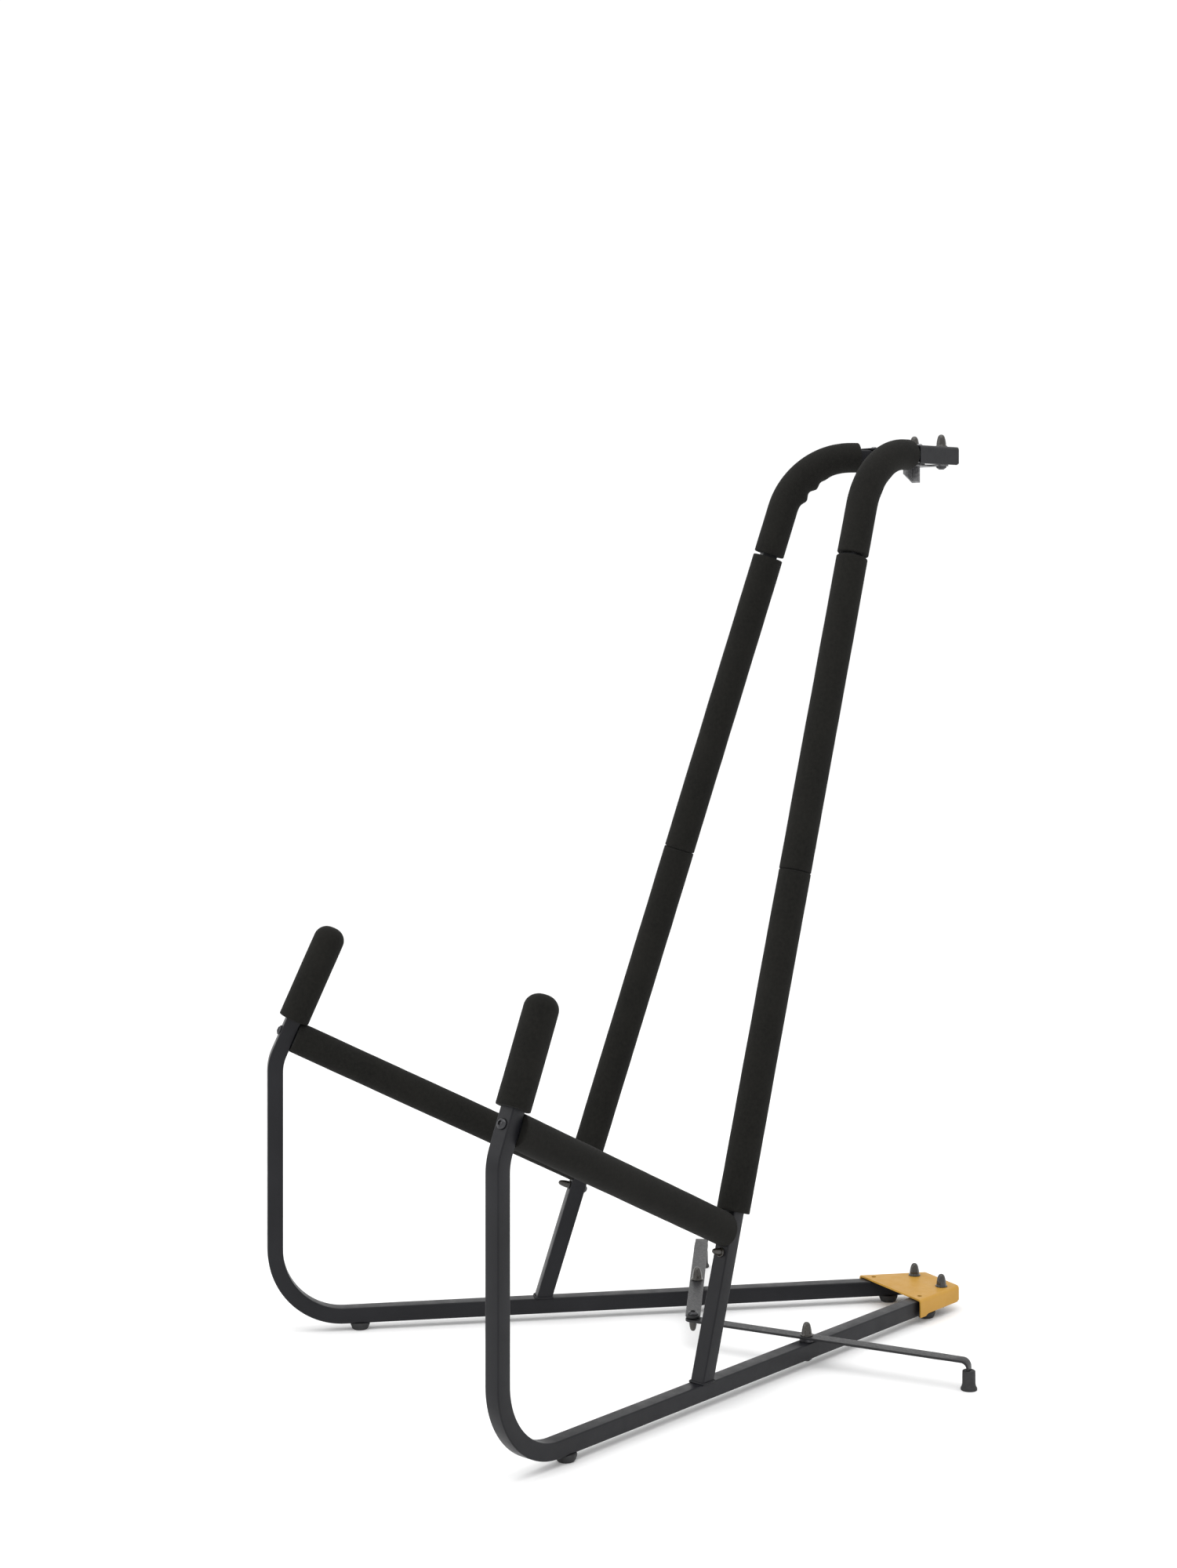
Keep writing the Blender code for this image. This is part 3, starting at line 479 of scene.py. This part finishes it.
def aim(s, z, direction):
    """Matrix at (s, z) in a frame's plane whose Z axis points along direction (s, z)."""
    axis = Vector((0.0, -direction[0], direction[1])).normalized()
    return Matrix.Translation((0.0, -s, z)) @ axis.to_track_quat("Z", "X").to_matrix().to_4x4()


# ---------------------------------------------------------------- square tubes
def square_tube(tag, side, part, stations, ends=(None, None)):
    outer = rounded_square(TUBE / 2, TUBE_CORNER, 7)
    inner = rounded_square(TUBE / 2 - TUBE_WALL, TUBE_CORNER - TUBE_WALL, 7)
    rings = []
    for profile, order in ((outer, 1), (inner, -1)):
        last = len(stations) - 1
        swept = [
            section(side, station, profile, ends[0] if i == 0 else ends[1] if i == last else None)
            for i, station in enumerate(stations)
        ]
        rings += swept[::order]
    work = skin(rings, closed_loop=True)
    finish_mesh(
        work, f"{tag}_{part}_skin", "black_powder_coat", f"{tag}_frame", [f"{tag}_{part}"],
        frame_place(side), angle=50.0,
    )


def frame_tubes(tag, side):
    knee = HOOK_Z + (UPRIGHT_S - HOOK_S) / HOOK_SLOPE
    corners = (
        (REAR_S, BASE_Z), (UPRIGHT_S, BASE_Z), (UPRIGHT_S, knee),
        (hook_s(HOOK_TUBE_TOP), HOOK_TUBE_TOP),
    )
    square_tube(tag, side, "frame_tube", route(corners, (BEND_R, HOOK_BEND_R), (28, 12)))
    foot = BASE_Z + TUBE / 2 + GAP
    corners = ((back_s(foot), foot), (back_s(TOP_Z), TOP_Z), (REAR_S, TOP_Z))
    floor_plane = (Vector((0.0, foot)), Vector((0.0, 1.0)))
    square_tube(tag, side, "back_tube", route(corners, (TOP_BEND_R,), (28,)), (floor_plane, None))
    out = square(HOOK_DIR)
    rear_plane = (SEAT_REAR + square(BACK_DIR) * (TUBE / 2 + GAP), square(BACK_DIR))
    front_plane = (SEAT_FRONT - out * (TUBE / 2 + GAP), out)
    inset = SEAT_DIR * SEAT_INSET
    stations = [(SEAT_REAR + inset, SEAT_DIR), (SEAT_FRONT - inset, SEAT_DIR)]
    square_tube(tag, side, "seat_tube", stations, (rear_plane, front_plane))


# ---------------------------------------------------------------- weld beads
def outline_points(outline, pitch):
    """Points at an even pitch round a closed outline, with the distance travelled."""
    result = []
    travelled = 0.0
    for i, start in enumerate(outline):
        end = outline[(i + 1) % len(outline)]
        span = math.dist(start, end)
        count = max(1, round(span / pitch))
        for k in range(count):
            t = k / count
            x = start[0] + (end[0] - start[0]) * t
            y = start[1] + (end[1] - start[1]) * t
            result.append((x, y, travelled + span * t))
        travelled += span
    return result


def post_weld(tag, side):
    """Rippled fillet weld round the post's foot, on top of the base tube."""
    foot = BASE_Z + TUBE / 2
    rings = []
    outline = rounded_square(TUBE / 2 + WELD_OFFSET, TUBE_CORNER, 5)
    for a, b, travelled in outline_points(outline, WELD_PITCH):
        outward = Vector((a, b)).normalized()
        ripple = 1.0 + 0.16 * math.sin(2 * math.pi * travelled / WELD_RIPPLE)
        ripple += 0.14 * noise.noise(Vector((a * 300, b * 300, side * 3.0)))
        ring = []
        for k in range(8):
            angle = 2 * math.pi * k / 8
            reach = outward * (WELD_R * ripple * math.cos(angle))
            lift = WELD_R * ripple * math.sin(angle) + WELD_LIFT
            forward = back_s(foot) + b / BACK_DIR.y + reach.y
            ring.append((side * (a + reach.x), -forward, foot + lift))
        rings.append(ring)
    finish_mesh(
        skin(rings, closed_loop=True), f"{tag}_post_weld", "black_powder_coat", f"{tag}_frame",
        None, frame_place(side), 80.0,
    )


# ---------------------------------------------------------------- foam sleeves
def foam_radius(seed, distance, angle, folds):
    """Radius with the soft unevenness of cut foam, and the folds on a bend's inner side."""
    p = Vector((math.cos(angle) * 0.7, math.sin(angle) * 0.7, distance * 22.0 + seed))
    uneven = 0.00022 * noise.noise(p) + 0.00010 * noise.noise(p * 4.1)
    bulge = 0.0
    for place, width, height in folds:
        inner = max(0.0, math.sin(angle)) ** 1.6
        bulge += height * inner * math.exp(-(((distance - place) / width) ** 2))
    return FOAM_R + uneven + bulge


def resampled(stations, pitch):
    """Stations at an even pitch along a polyline route, with the distance travelled."""
    result = []
    travelled = 0.0
    for (a, head_a), (b, head_b) in zip(stations, stations[1:]):
        span = (b - a).length
        if span < 1e-9:
            continue
        count = max(1, round(span / pitch))
        for k in range(count):
            t = k / count
            result.append((a.lerp(b, t), head_a.lerp(head_b, t).normalized(), travelled + span * t))
        travelled += span
    result.append((stations[-1][0], stations[-1][1], travelled))
    return result


def end_lip(gap):
    """How far in the outer face is pulled at a distance from a cut end, as a quarter round."""
    if gap >= FOAM_EDGE:
        return 0.0
    t = 1.0 - gap / FOAM_EDGE
    return FOAM_EDGE * (1.0 - math.sqrt(max(0.0, 1.0 - t * t)))


def foam_sleeve(name, tag, side, stations, seed, folds=(), ends=(None, None), node=None):
    """Round foam sleeve with a square bore, its cut ends softly rounded."""
    dense = resampled(stations, FOAM_PITCH)
    total = dense[-1][2]
    first, last = dense[0], dense[-1]
    for part in LIP_PARTS:
        step = FOAM_EDGE * part
        dense.append((first[0] + first[1] * step, first[1], step))
        dense.append((last[0] - last[1] * step, last[1], total - step))
    dense.sort(key=lambda entry: entry[2])
    rings = []
    for point, head, distance in dense:
        profile = []
        for k in range(FOAM_SEGMENTS):
            angle = 2 * math.pi * k / FOAM_SEGMENTS
            radius = foam_radius(seed, distance, angle, folds)
            radius -= end_lip(min(distance, total - distance))
            profile.append((radius * math.cos(angle), radius * math.sin(angle)))
        plane = None
        if ends[0] is not None and distance < TUBE:
            plane = (ends[0][0] + head * distance, ends[0][1])
        if ends[1] is not None and distance > total - TUBE:
            plane = (ends[1][0] - head * (total - distance), ends[1][1])
        rings.append(section(side, (point, head), profile, plane))
    bore = rounded_square(FOAM_HOLE / 2, TUBE_CORNER, FOAM_SEGMENTS // 4)
    rings.append(section(side, dense[-1][:2], bore, ends[1]))
    rings += [section(side, station, bore) for station in reversed(stations[1:-1])]
    rings.append(section(side, dense[0][:2], bore, ends[0]))
    piece = finish_mesh(
        skin(rings, closed_loop=True), name, "foam_rubber", f"{tag}_frame", [node],
        frame_place(side), angle=60.0,
    )


def straight(point_a, point_b):
    head = (point_b - point_a).normalized()
    return [(point_a, head), (point_b, head)]


def foams(tag, side):
    low = Vector((back_s(LOWER_FOAM_Z), LOWER_FOAM_Z))
    mid = MID_JOINT_Z
    high = UPPER_JOINT_Z - FOAM_CREASE
    foam_sleeve(
        f"{tag}_lower_back_sleeve", tag, side,
        straight(low, Vector((back_s(mid - GAP), mid - GAP))), 1.0 + side,
        node=f"{tag}_lower_back_foam",
    )
    foam_sleeve(
        f"{tag}_upper_back_sleeve", tag, side,
        straight(Vector((back_s(mid + GAP), mid + GAP)), Vector((back_s(high), high))),
        5.0 + side, node=f"{tag}_upper_back_foam",
    )
    start = UPPER_JOINT_Z + FOAM_CREASE
    corners = ((back_s(start), start), (back_s(TOP_Z), TOP_Z), (TOP_FOAM_END_S, TOP_Z))
    if side > 0:
        folds = ((0.093, 0.010, 0.0008), (0.128, 0.010, 0.0007))
    else:
        folds = ((0.091, 0.009, 0.0050), (0.119, 0.009, 0.0048), (0.142, 0.008, 0.0014))
    foam_sleeve(
        f"{tag}_top_sleeve", tag, side, route(corners, (TOP_BEND_R,), (24,)), 9.0 + side,
        folds=folds, node=f"{tag}_top_foam",
    )
    out = square(HOOK_DIR)
    rear_plane = (SEAT_REAR + square(BACK_DIR) * (TUBE / 2 + 2 * GAP), square(BACK_DIR))
    front_plane = (SEAT_FRONT - out * (TUBE / 2 + 2 * GAP), out)
    inset = SEAT_DIR * SEAT_INSET
    foam_sleeve(
        f"{tag}_seat_sleeve", tag, side, straight(SEAT_REAR + inset, SEAT_FRONT - inset),
        13.0 + side, ends=(rear_plane, front_plane), node=f"{tag}_seat_foam",
    )
    hook_sleeve(tag, side)


def hook_sleeve(tag, side):
    """Sleeve over the hook's end, closed by a rounded tip."""
    rim = Vector((HOOK_S, HOOK_Z))
    tip = Vector((hook_s(HOOK_TIP), HOOK_TIP))
    length = (tip - rim).length
    outer = []
    lip = [0.0] + [FOAM_EDGE * part for part in LIP_PARTS]
    count = int((length - DOME_R - 1.5 * HOOK_PITCH) / HOOK_PITCH)
    body = [HOOK_PITCH + HOOK_PITCH * k for k in range(count)]
    for distance in lip + body:
        outer.append((distance, 0.0))
    for k in range(15):
        a = math.radians(90 * k / 14.4)
        outer.append((length - DOME_R * (1 - math.sin(a)), DOME_R * (1 - math.cos(a))))
    rings = []
    top = Vector((hook_s(HOOK_TUBE_TOP), HOOK_TUBE_TOP)) + HOOK_DIR * GAP
    bore = rounded_square(FOAM_HOLE / 2, TUBE_CORNER, FOAM_SEGMENTS // 4)
    rings.append(section(side, (top, HOOK_DIR), bore))
    rings.append(section(side, (rim, HOOK_DIR), bore))
    for distance, drop in outer:
        profile = []
        for k in range(FOAM_SEGMENTS):
            angle = 2 * math.pi * k / FOAM_SEGMENTS
            radius = foam_radius(17.0 + side, distance, angle, ()) - drop
            radius -= end_lip(distance)
            profile.append((radius * math.cos(angle), radius * math.sin(angle)))
        rings.append(section(side, (rim + HOOK_DIR * distance, HOOK_DIR), profile))
    piece = finish_mesh(
        skin(rings), f"{tag}_hook_sleeve", "foam_rubber", f"{tag}_frame", [f"{tag}_hook_foam"],
        frame_place(side), angle=60.0,
    )


# ---------------------------------------------------------------- turned pieces
def turned(name, profile, slot, body, nodes, place, segments=48, shape=None, angle=40.0):
    """Round piece from (radius, height) pairs; shape(angle, height) scales the radius."""
    rings = []
    for radius, height in profile:
        ring = []
        for k in range(segments):
            a = 2 * math.pi * k / segments
            r = radius * (shape(a, height) if shape else 1.0)
            ring.append((r * math.cos(a), r * math.sin(a), height))
        rings.append(ring)
    finish_mesh(skin(rings), name, slot, body, nodes, place, angle)


def smooth_profile(points, steps):
    """Catmull-Rom through (radius, height) points."""
    result = []
    for i in range(len(points) - 1):
        p0 = Vector(points[max(i - 1, 0)])
        p1, p2 = Vector(points[i]), Vector(points[i + 1])
        p3 = Vector(points[min(i + 2, len(points) - 1)])
        for k in range(steps):
            t = k / steps
            q = 0.5 * (
                2 * p1 + (p2 - p0) * t + (2 * p0 - 5 * p1 + 4 * p2 - p3) * t * t
                + (3 * p1 - p0 - 3 * p2 + p3) * t * t * t
            )
            result.append((q.x, q.y))
    result.append(tuple(points[-1]))
    return result


def cap_nut(name, place, width, height, bore_r, bore, body, node):
    """Moulded cap over a nut: flared rim, six-sided waist and a ribbed, rounded cone."""
    r = width / 2
    side_line = smooth_profile((
        (r * 0.86, height * 0.10), (r * 0.80, height * 0.17), (r * 0.77, height * 0.34),
        (r * 0.70, height * 0.54), (r * 0.60, height * 0.74), (r * 0.47, height * 0.88),
        (r * 0.30, height * 0.965), (r * 0.10, height),
    ), 4)
    profile = [
        (bore_r, bore), (bore_r, 0.0), (r * 0.97, 0.0), (r, height * 0.02),
        (r, height * 0.055), (r * 0.965, height * 0.085),
    ] + side_line + [(r * 0.02, height * 1.001)]

    def ribs(a, level):
        t = level / height
        if t < 0.12 or t > 0.97:
            return 1.0
        fade = min(1.0, (t - 0.12) / 0.06, (0.97 - t) / 0.12)
        return 1.0 + fade * (0.050 * abs(math.cos(3 * a)) ** 0.6 - 0.030)

    turned(name, profile, "cap_plastic", body, [node], place, 60, ribs, 32.0)


def button_bolt(name, place, head_r, head_h, shank_r, length, body, node):
    """Button-head bolt with a hexagon socket."""
    socket_r = head_r * 0.46
    crown = []
    for k in range(11):
        a = math.radians(8 + 82 * k / 10)
        radius = max(socket_r * 1.18, head_r * math.sin(a))
        crown.append((radius, head_h * (0.14 + 0.86 * math.cos(a))))
    top = crown[0][1]
    floor = top - head_h * 0.62
    profile = [
        (socket_r * 0.02, floor - socket_r * 0.15), (socket_r, floor),
        (socket_r, top - head_h * 0.05), (socket_r * 1.10, top),
    ] + crown + [(head_r * 0.985, 0.0), (shank_r, 0.0), (shank_r, -length)]

    def hexagon(a):
        sector = math.pi / 3
        return math.cos(sector / 2) / math.cos((a % sector) - sector / 2) * 1.08

    rings = []
    for index, (radius, height) in enumerate(profile):
        ring = []
        for k in range(48):
            a = 2 * math.pi * k / 48
            r = radius * (hexagon(a) if index in (1, 2) else 1.0)
            ring.append((r * math.cos(a), r * math.sin(a), height))
        rings.append(ring)
    finish_mesh(skin(rings), name, "black_bolt_steel", body, [node], place, 35.0)


def clamp(stem, below, above, place, body):
    """Button-head bolt from below through a joint, with a moulded cap nut on top."""
    flip = Matrix.Rotation(math.pi, 4, "X")
    button_bolt(
        f"{stem}_button_head", place @ Matrix.Translation((0.0, 0.0, below)) @ flip,
        PIVOT_HEAD_R, PIVOT_HEAD_H, PIVOT_BOLT_R, above - below + NUT_GRIP, body, f"{stem}_bolt",
    )
    cap_nut(
        f"{stem}_moulded_cap", place @ Matrix.Translation((0.0, 0.0, above)), PIVOT_NUT_W,
        PIVOT_NUT_H, PIVOT_BOLT_R + FIT, NUT_GRIP + NUT_END_GAP, body, f"{stem}_cap_nut",
    )


def node_low(name):
    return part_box(name)[0]


def fasteners(tag, side):
    """Both pivots, the outrigger's bolt, the post's bolt and the screw under the hook."""
    place = Matrix.Translation((side * PIVOT_X, PIVOT_Y, 0.0))
    under = BASE_Z - TUBE / 2 - GAP
    clamp(f"{tag}_lower_pivot", under, node_low(f"{tag}_lower_pivot_cap_nut")[2], place, "brackets")
    strap = node_low("pivot_strap")[2] - FIT
    clamp(f"{tag}_upper_pivot", strap, node_low(f"{tag}_upper_pivot_cap_nut")[2], place, "brackets")
    frame_at = frame_place(side)
    arm_at = frame_at @ Matrix.Translation((0.0, -ARM_S, 0.0))
    clamp(
        f"{tag}_outrigger", under, node_low(f"{tag}_outrigger_cap_nut")[2], arm_at,
        f"{tag}_frame",
    )
    out = square(BACK_DIR)
    middle = Vector((back_s(POST_BOLT_Z), POST_BOLT_Z))
    back = middle - out * (TUBE / 2 + GAP)
    front = middle + out * (TUBE / 2 + GAP)
    button_bolt(
        f"{tag}_post_button_head", frame_at @ aim(back.x, back.y, -out), SMALL_HEAD_R,
        SMALL_HEAD_H, SMALL_BOLT_R, TUBE + 2 * GAP + SMALL_NUT_H / 2, f"{tag}_frame",
        f"{tag}_post_bolt",
    )
    cap_nut(
        f"{tag}_post_moulded_cap", frame_at @ aim(front.x, front.y, out), SMALL_NUT_W,
        SMALL_NUT_H, SMALL_BOLT_R + FIT, SMALL_NUT_H / 2 + NUT_END_GAP, f"{tag}_frame",
        f"{tag}_post_cap_nut",
    )
    face = SEAT_FRONT + square(HOOK_DIR) * (TUBE / 2 + 2 * GAP)
    reach = (face - SEAT_FRONT).dot(SEAT_DIR)
    seat = SEAT_FRONT + SEAT_DIR * reach
    button_bolt(
        f"{tag}_hook_button_head", frame_at @ aim(seat.x, seat.y, SEAT_DIR), SCREW_HEAD_R,
        SCREW_HEAD_H, SCREW_R, reach + SCREW_REACH, f"{tag}_frame", f"{tag}_hook_screw",
    )


def centre_pin():
    """Head on the left arm, which crosses above; cap nut under the right arm."""
    over = Matrix.Translation((-ARM_IN, 0.0, LEFT_ARM_Z + ARM_T + FIT))
    button_bolt(
        "center_button_head", arm_place(-1) @ over, CENTRE_HEAD_R, CENTRE_HEAD_H, SMALL_BOLT_R,
        ARM_T + 2 * FIT, "left_outrigger", "center_bolt",
    )
    under = Matrix.Translation((-ARM_IN, 0.0, RIGHT_ARM_Z - FIT))
    under = under @ Matrix.Rotation(math.pi, 4, "X")
    cap_nut(
        "center_moulded_cap", arm_place(1) @ under, CENTRE_NUT_W, CENTRE_NUT_H, SMALL_BOLT_R,
        -(LEFT_ARM_Z - RIGHT_ARM_Z - 2 * FIT), "right_outrigger", "center_cap_nut",
    )


# ---------------------------------------------------------------- rubber feet
def rubber_feet(tag, side):
    profile = (
        (0.0002, FOOT_H), (0.0118, FOOT_H), (0.0124, FOOT_H - 0.0004), (0.0127, FOOT_H - 0.0012),
        (0.0125, FOOT_H - 0.0030), (0.0112, 0.0030), (0.0104, 0.0014), (0.0098, 0.0005),
        (0.0090, 0.0), (0.0045, 0.0), (0.0040, 0.0008), (0.0002, 0.0008),
    )
    for part, s in (("front_foot", FOOT_FRONT_S), ("rear_foot", FOOT_REAR_S)):
        place = frame_place(side) @ Matrix.Translation((0.0, -s, 0.0))
        turned(
            f"{tag}_{part}_bumper", profile, "foot_rubber", f"{tag}_frame", [f"{tag}_{part}"],
            place,
        )
    outrigger_cup(tag, side)


def outrigger_cup(tag, side):
    """Cup on the arm's leg: faceted body, chamfered shoulder, flared foot."""
    rings = []
    segments = 48
    slot = rounded_square(1.0, 0.12, segments // 4)
    for height in (LEG_END_Z - FIT, CUP_TOP - 0.0004, CUP_TOP):
        grow = 1.06 if height == CUP_TOP else 1.0
        rings.append([
            (ARM_OUT + x * (ARM_T / 2 + GAP) * grow, y * (ARM_LEG_W / 2 + GAP) * grow, height)
            for x, y in slot
        ])
    outside = smooth_profile((
        (0.0070, CUP_TOP - 0.0001), (0.0078, CUP_TOP - 0.0008), (0.0081, CUP_TOP - 0.0020),
        (0.0082, 0.0140), (0.0083, 0.0070), (0.0088, 0.0046), (0.0097, 0.0030),
        (0.0100, 0.0020), (0.0100, 0.0008), (0.0096, 0.0),
    ), 3)
    for radius, height in outside:
        ring = []
        for k in range(segments):
            a = 2 * math.pi * (k + 0.5) / segments
            flat = 1.0
            if 0.0060 < height < CUP_TOP - 0.0010:
                sector = math.pi / 4
                flat = 0.35 + 0.65 * math.cos(sector / 2) / math.cos((a % sector) - sector / 2)
                flat *= 1.02
            r = radius * flat
            ring.append((ARM_OUT + r * math.cos(a), r * math.sin(a), height))
        rings.append(ring)
    finish_mesh(
        skin(rings), f"{tag}_outrigger_cup", "foot_rubber", f"{tag}_outrigger",
        [f"{tag}_outrigger_foot"], arm_place(side), 45.0,
    )


# ---------------------------------------------------------------- CAD nodes kept, with finer edges
def refined(node, slot, body, edge, angle=38.0):
    """Copy of a CAD node with its facets merged and its edges rounded."""
    work = bmesh.new()
    work.from_mesh(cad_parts[node].data)
    bmesh.ops.remove_doubles(work, verts=work.verts, dist=1e-6)
    bmesh.ops.dissolve_limit(
        work, angle_limit=math.radians(0.4), verts=work.verts, edges=work.edges
    )
    piece = finish_mesh(work, f"{node}_finished", slot, body, [node], None, angle)
    soften = piece.modifiers.new("edges", "BEVEL")
    soften.width = edge
    soften.segments = 3
    soften.limit_method = "ANGLE"
    soften.angle_limit = math.radians(angle)
    soften.harden_normals = True


def refined_pieces():
    refined("base_plate", "gold_powder_coat", "brackets", 0.0004)
    refined("top_plate", "black_powder_coat", "brackets", 0.0004)
    refined("pivot_strap", "grey_steel", "brackets", 0.0003)
    refined("stop_tab", "grey_steel", "brackets", 0.0003)
    for tag, _ in SIDES:
        refined(f"{tag}_outrigger_arm", "gunmetal_coat", f"{tag}_outrigger", 0.00025)
        refined(f"{tag}_outrigger_spacer", "black_bolt_steel", f"{tag}_frame", 0.0003)
        refined(f"{tag}_detent_pin", "grey_steel", "brackets", 0.0002)
        for plug in ("base_end_plug", "top_end_plug"):
            refined(f"{tag}_{plug}", "plug_plastic", f"{tag}_frame", 0.0003)
        # the threaded insert is hidden in the seat tube, so its CAD node is kept and only coloured
        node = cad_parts[f"{tag}_seat_insert"]
        node.data.materials.clear()
        node.data.materials.append(MATERIALS["black_bolt_steel"])


# ---------------------------------------------------------------- studio
def area_light(name, place, target, size, power):
    data = bpy.data.lights.new(name, "AREA")
    data.shape = "RECTANGLE"
    data.size, data.size_y = size
    data.energy = power
    lamp = bpy.data.objects.new(name, data)
    lamp.location = place
    lamp.rotation_euler = (Vector(target) - Vector(place)).to_track_quat("-Z", "Y").to_euler()
    bpy.context.scene.collection.objects.link(lamp)


def studio():
    bpy.ops.mesh.primitive_plane_add(size=400.0, location=(0.0, 0.0, 0.0))
    floor = bpy.context.object
    floor.name = "floor"
    floor.data.materials.append(pale_floor())
    world = bpy.data.worlds.new("studio")
    world.use_nodes = True
    backdrop = world.node_tree.nodes["Background"]
    backdrop.inputs["Color"].default_value = (1.0, 1.0, 1.0, 1.0)
    backdrop.inputs["Strength"].default_value = 1.06
    bpy.context.scene.world = world
    area_light("overhead", (0.4, -0.4, 3.2), (0.0, 0.0, 0.4), (3.0, 3.0), 45.0)
    area_light("front_left", (-0.6, -3.2, 1.9), (0.0, -0.1, 0.5), (2.2, 2.2), 22.0)
    bpy.context.scene.view_settings.view_transform = "Standard"


def camera():
    data = bpy.data.cameras.new("photo_camera")
    data.lens = 58.364
    data.sensor_width = 36.0
    data.shift_y = -0.1445
    view = bpy.data.objects.new("photo_camera", data)
    view.location = (2.7568, -2.0684 + PIVOT_Y, 1.0046)
    view.rotation_euler = (math.radians(90.0), 0.0, math.radians(60.72))
    bpy.context.scene.collection.objects.link(view)
    bpy.context.scene.camera = view


# ---------------------------------------------------------------- assembly
for tag, side in SIDES:
    frame_tubes(tag, side)
    post_weld(tag, side)
    foams(tag, side)
    fasteners(tag, side)
    rubber_feet(tag, side)
centre_pin()
refined_pieces()
studio()
camera()
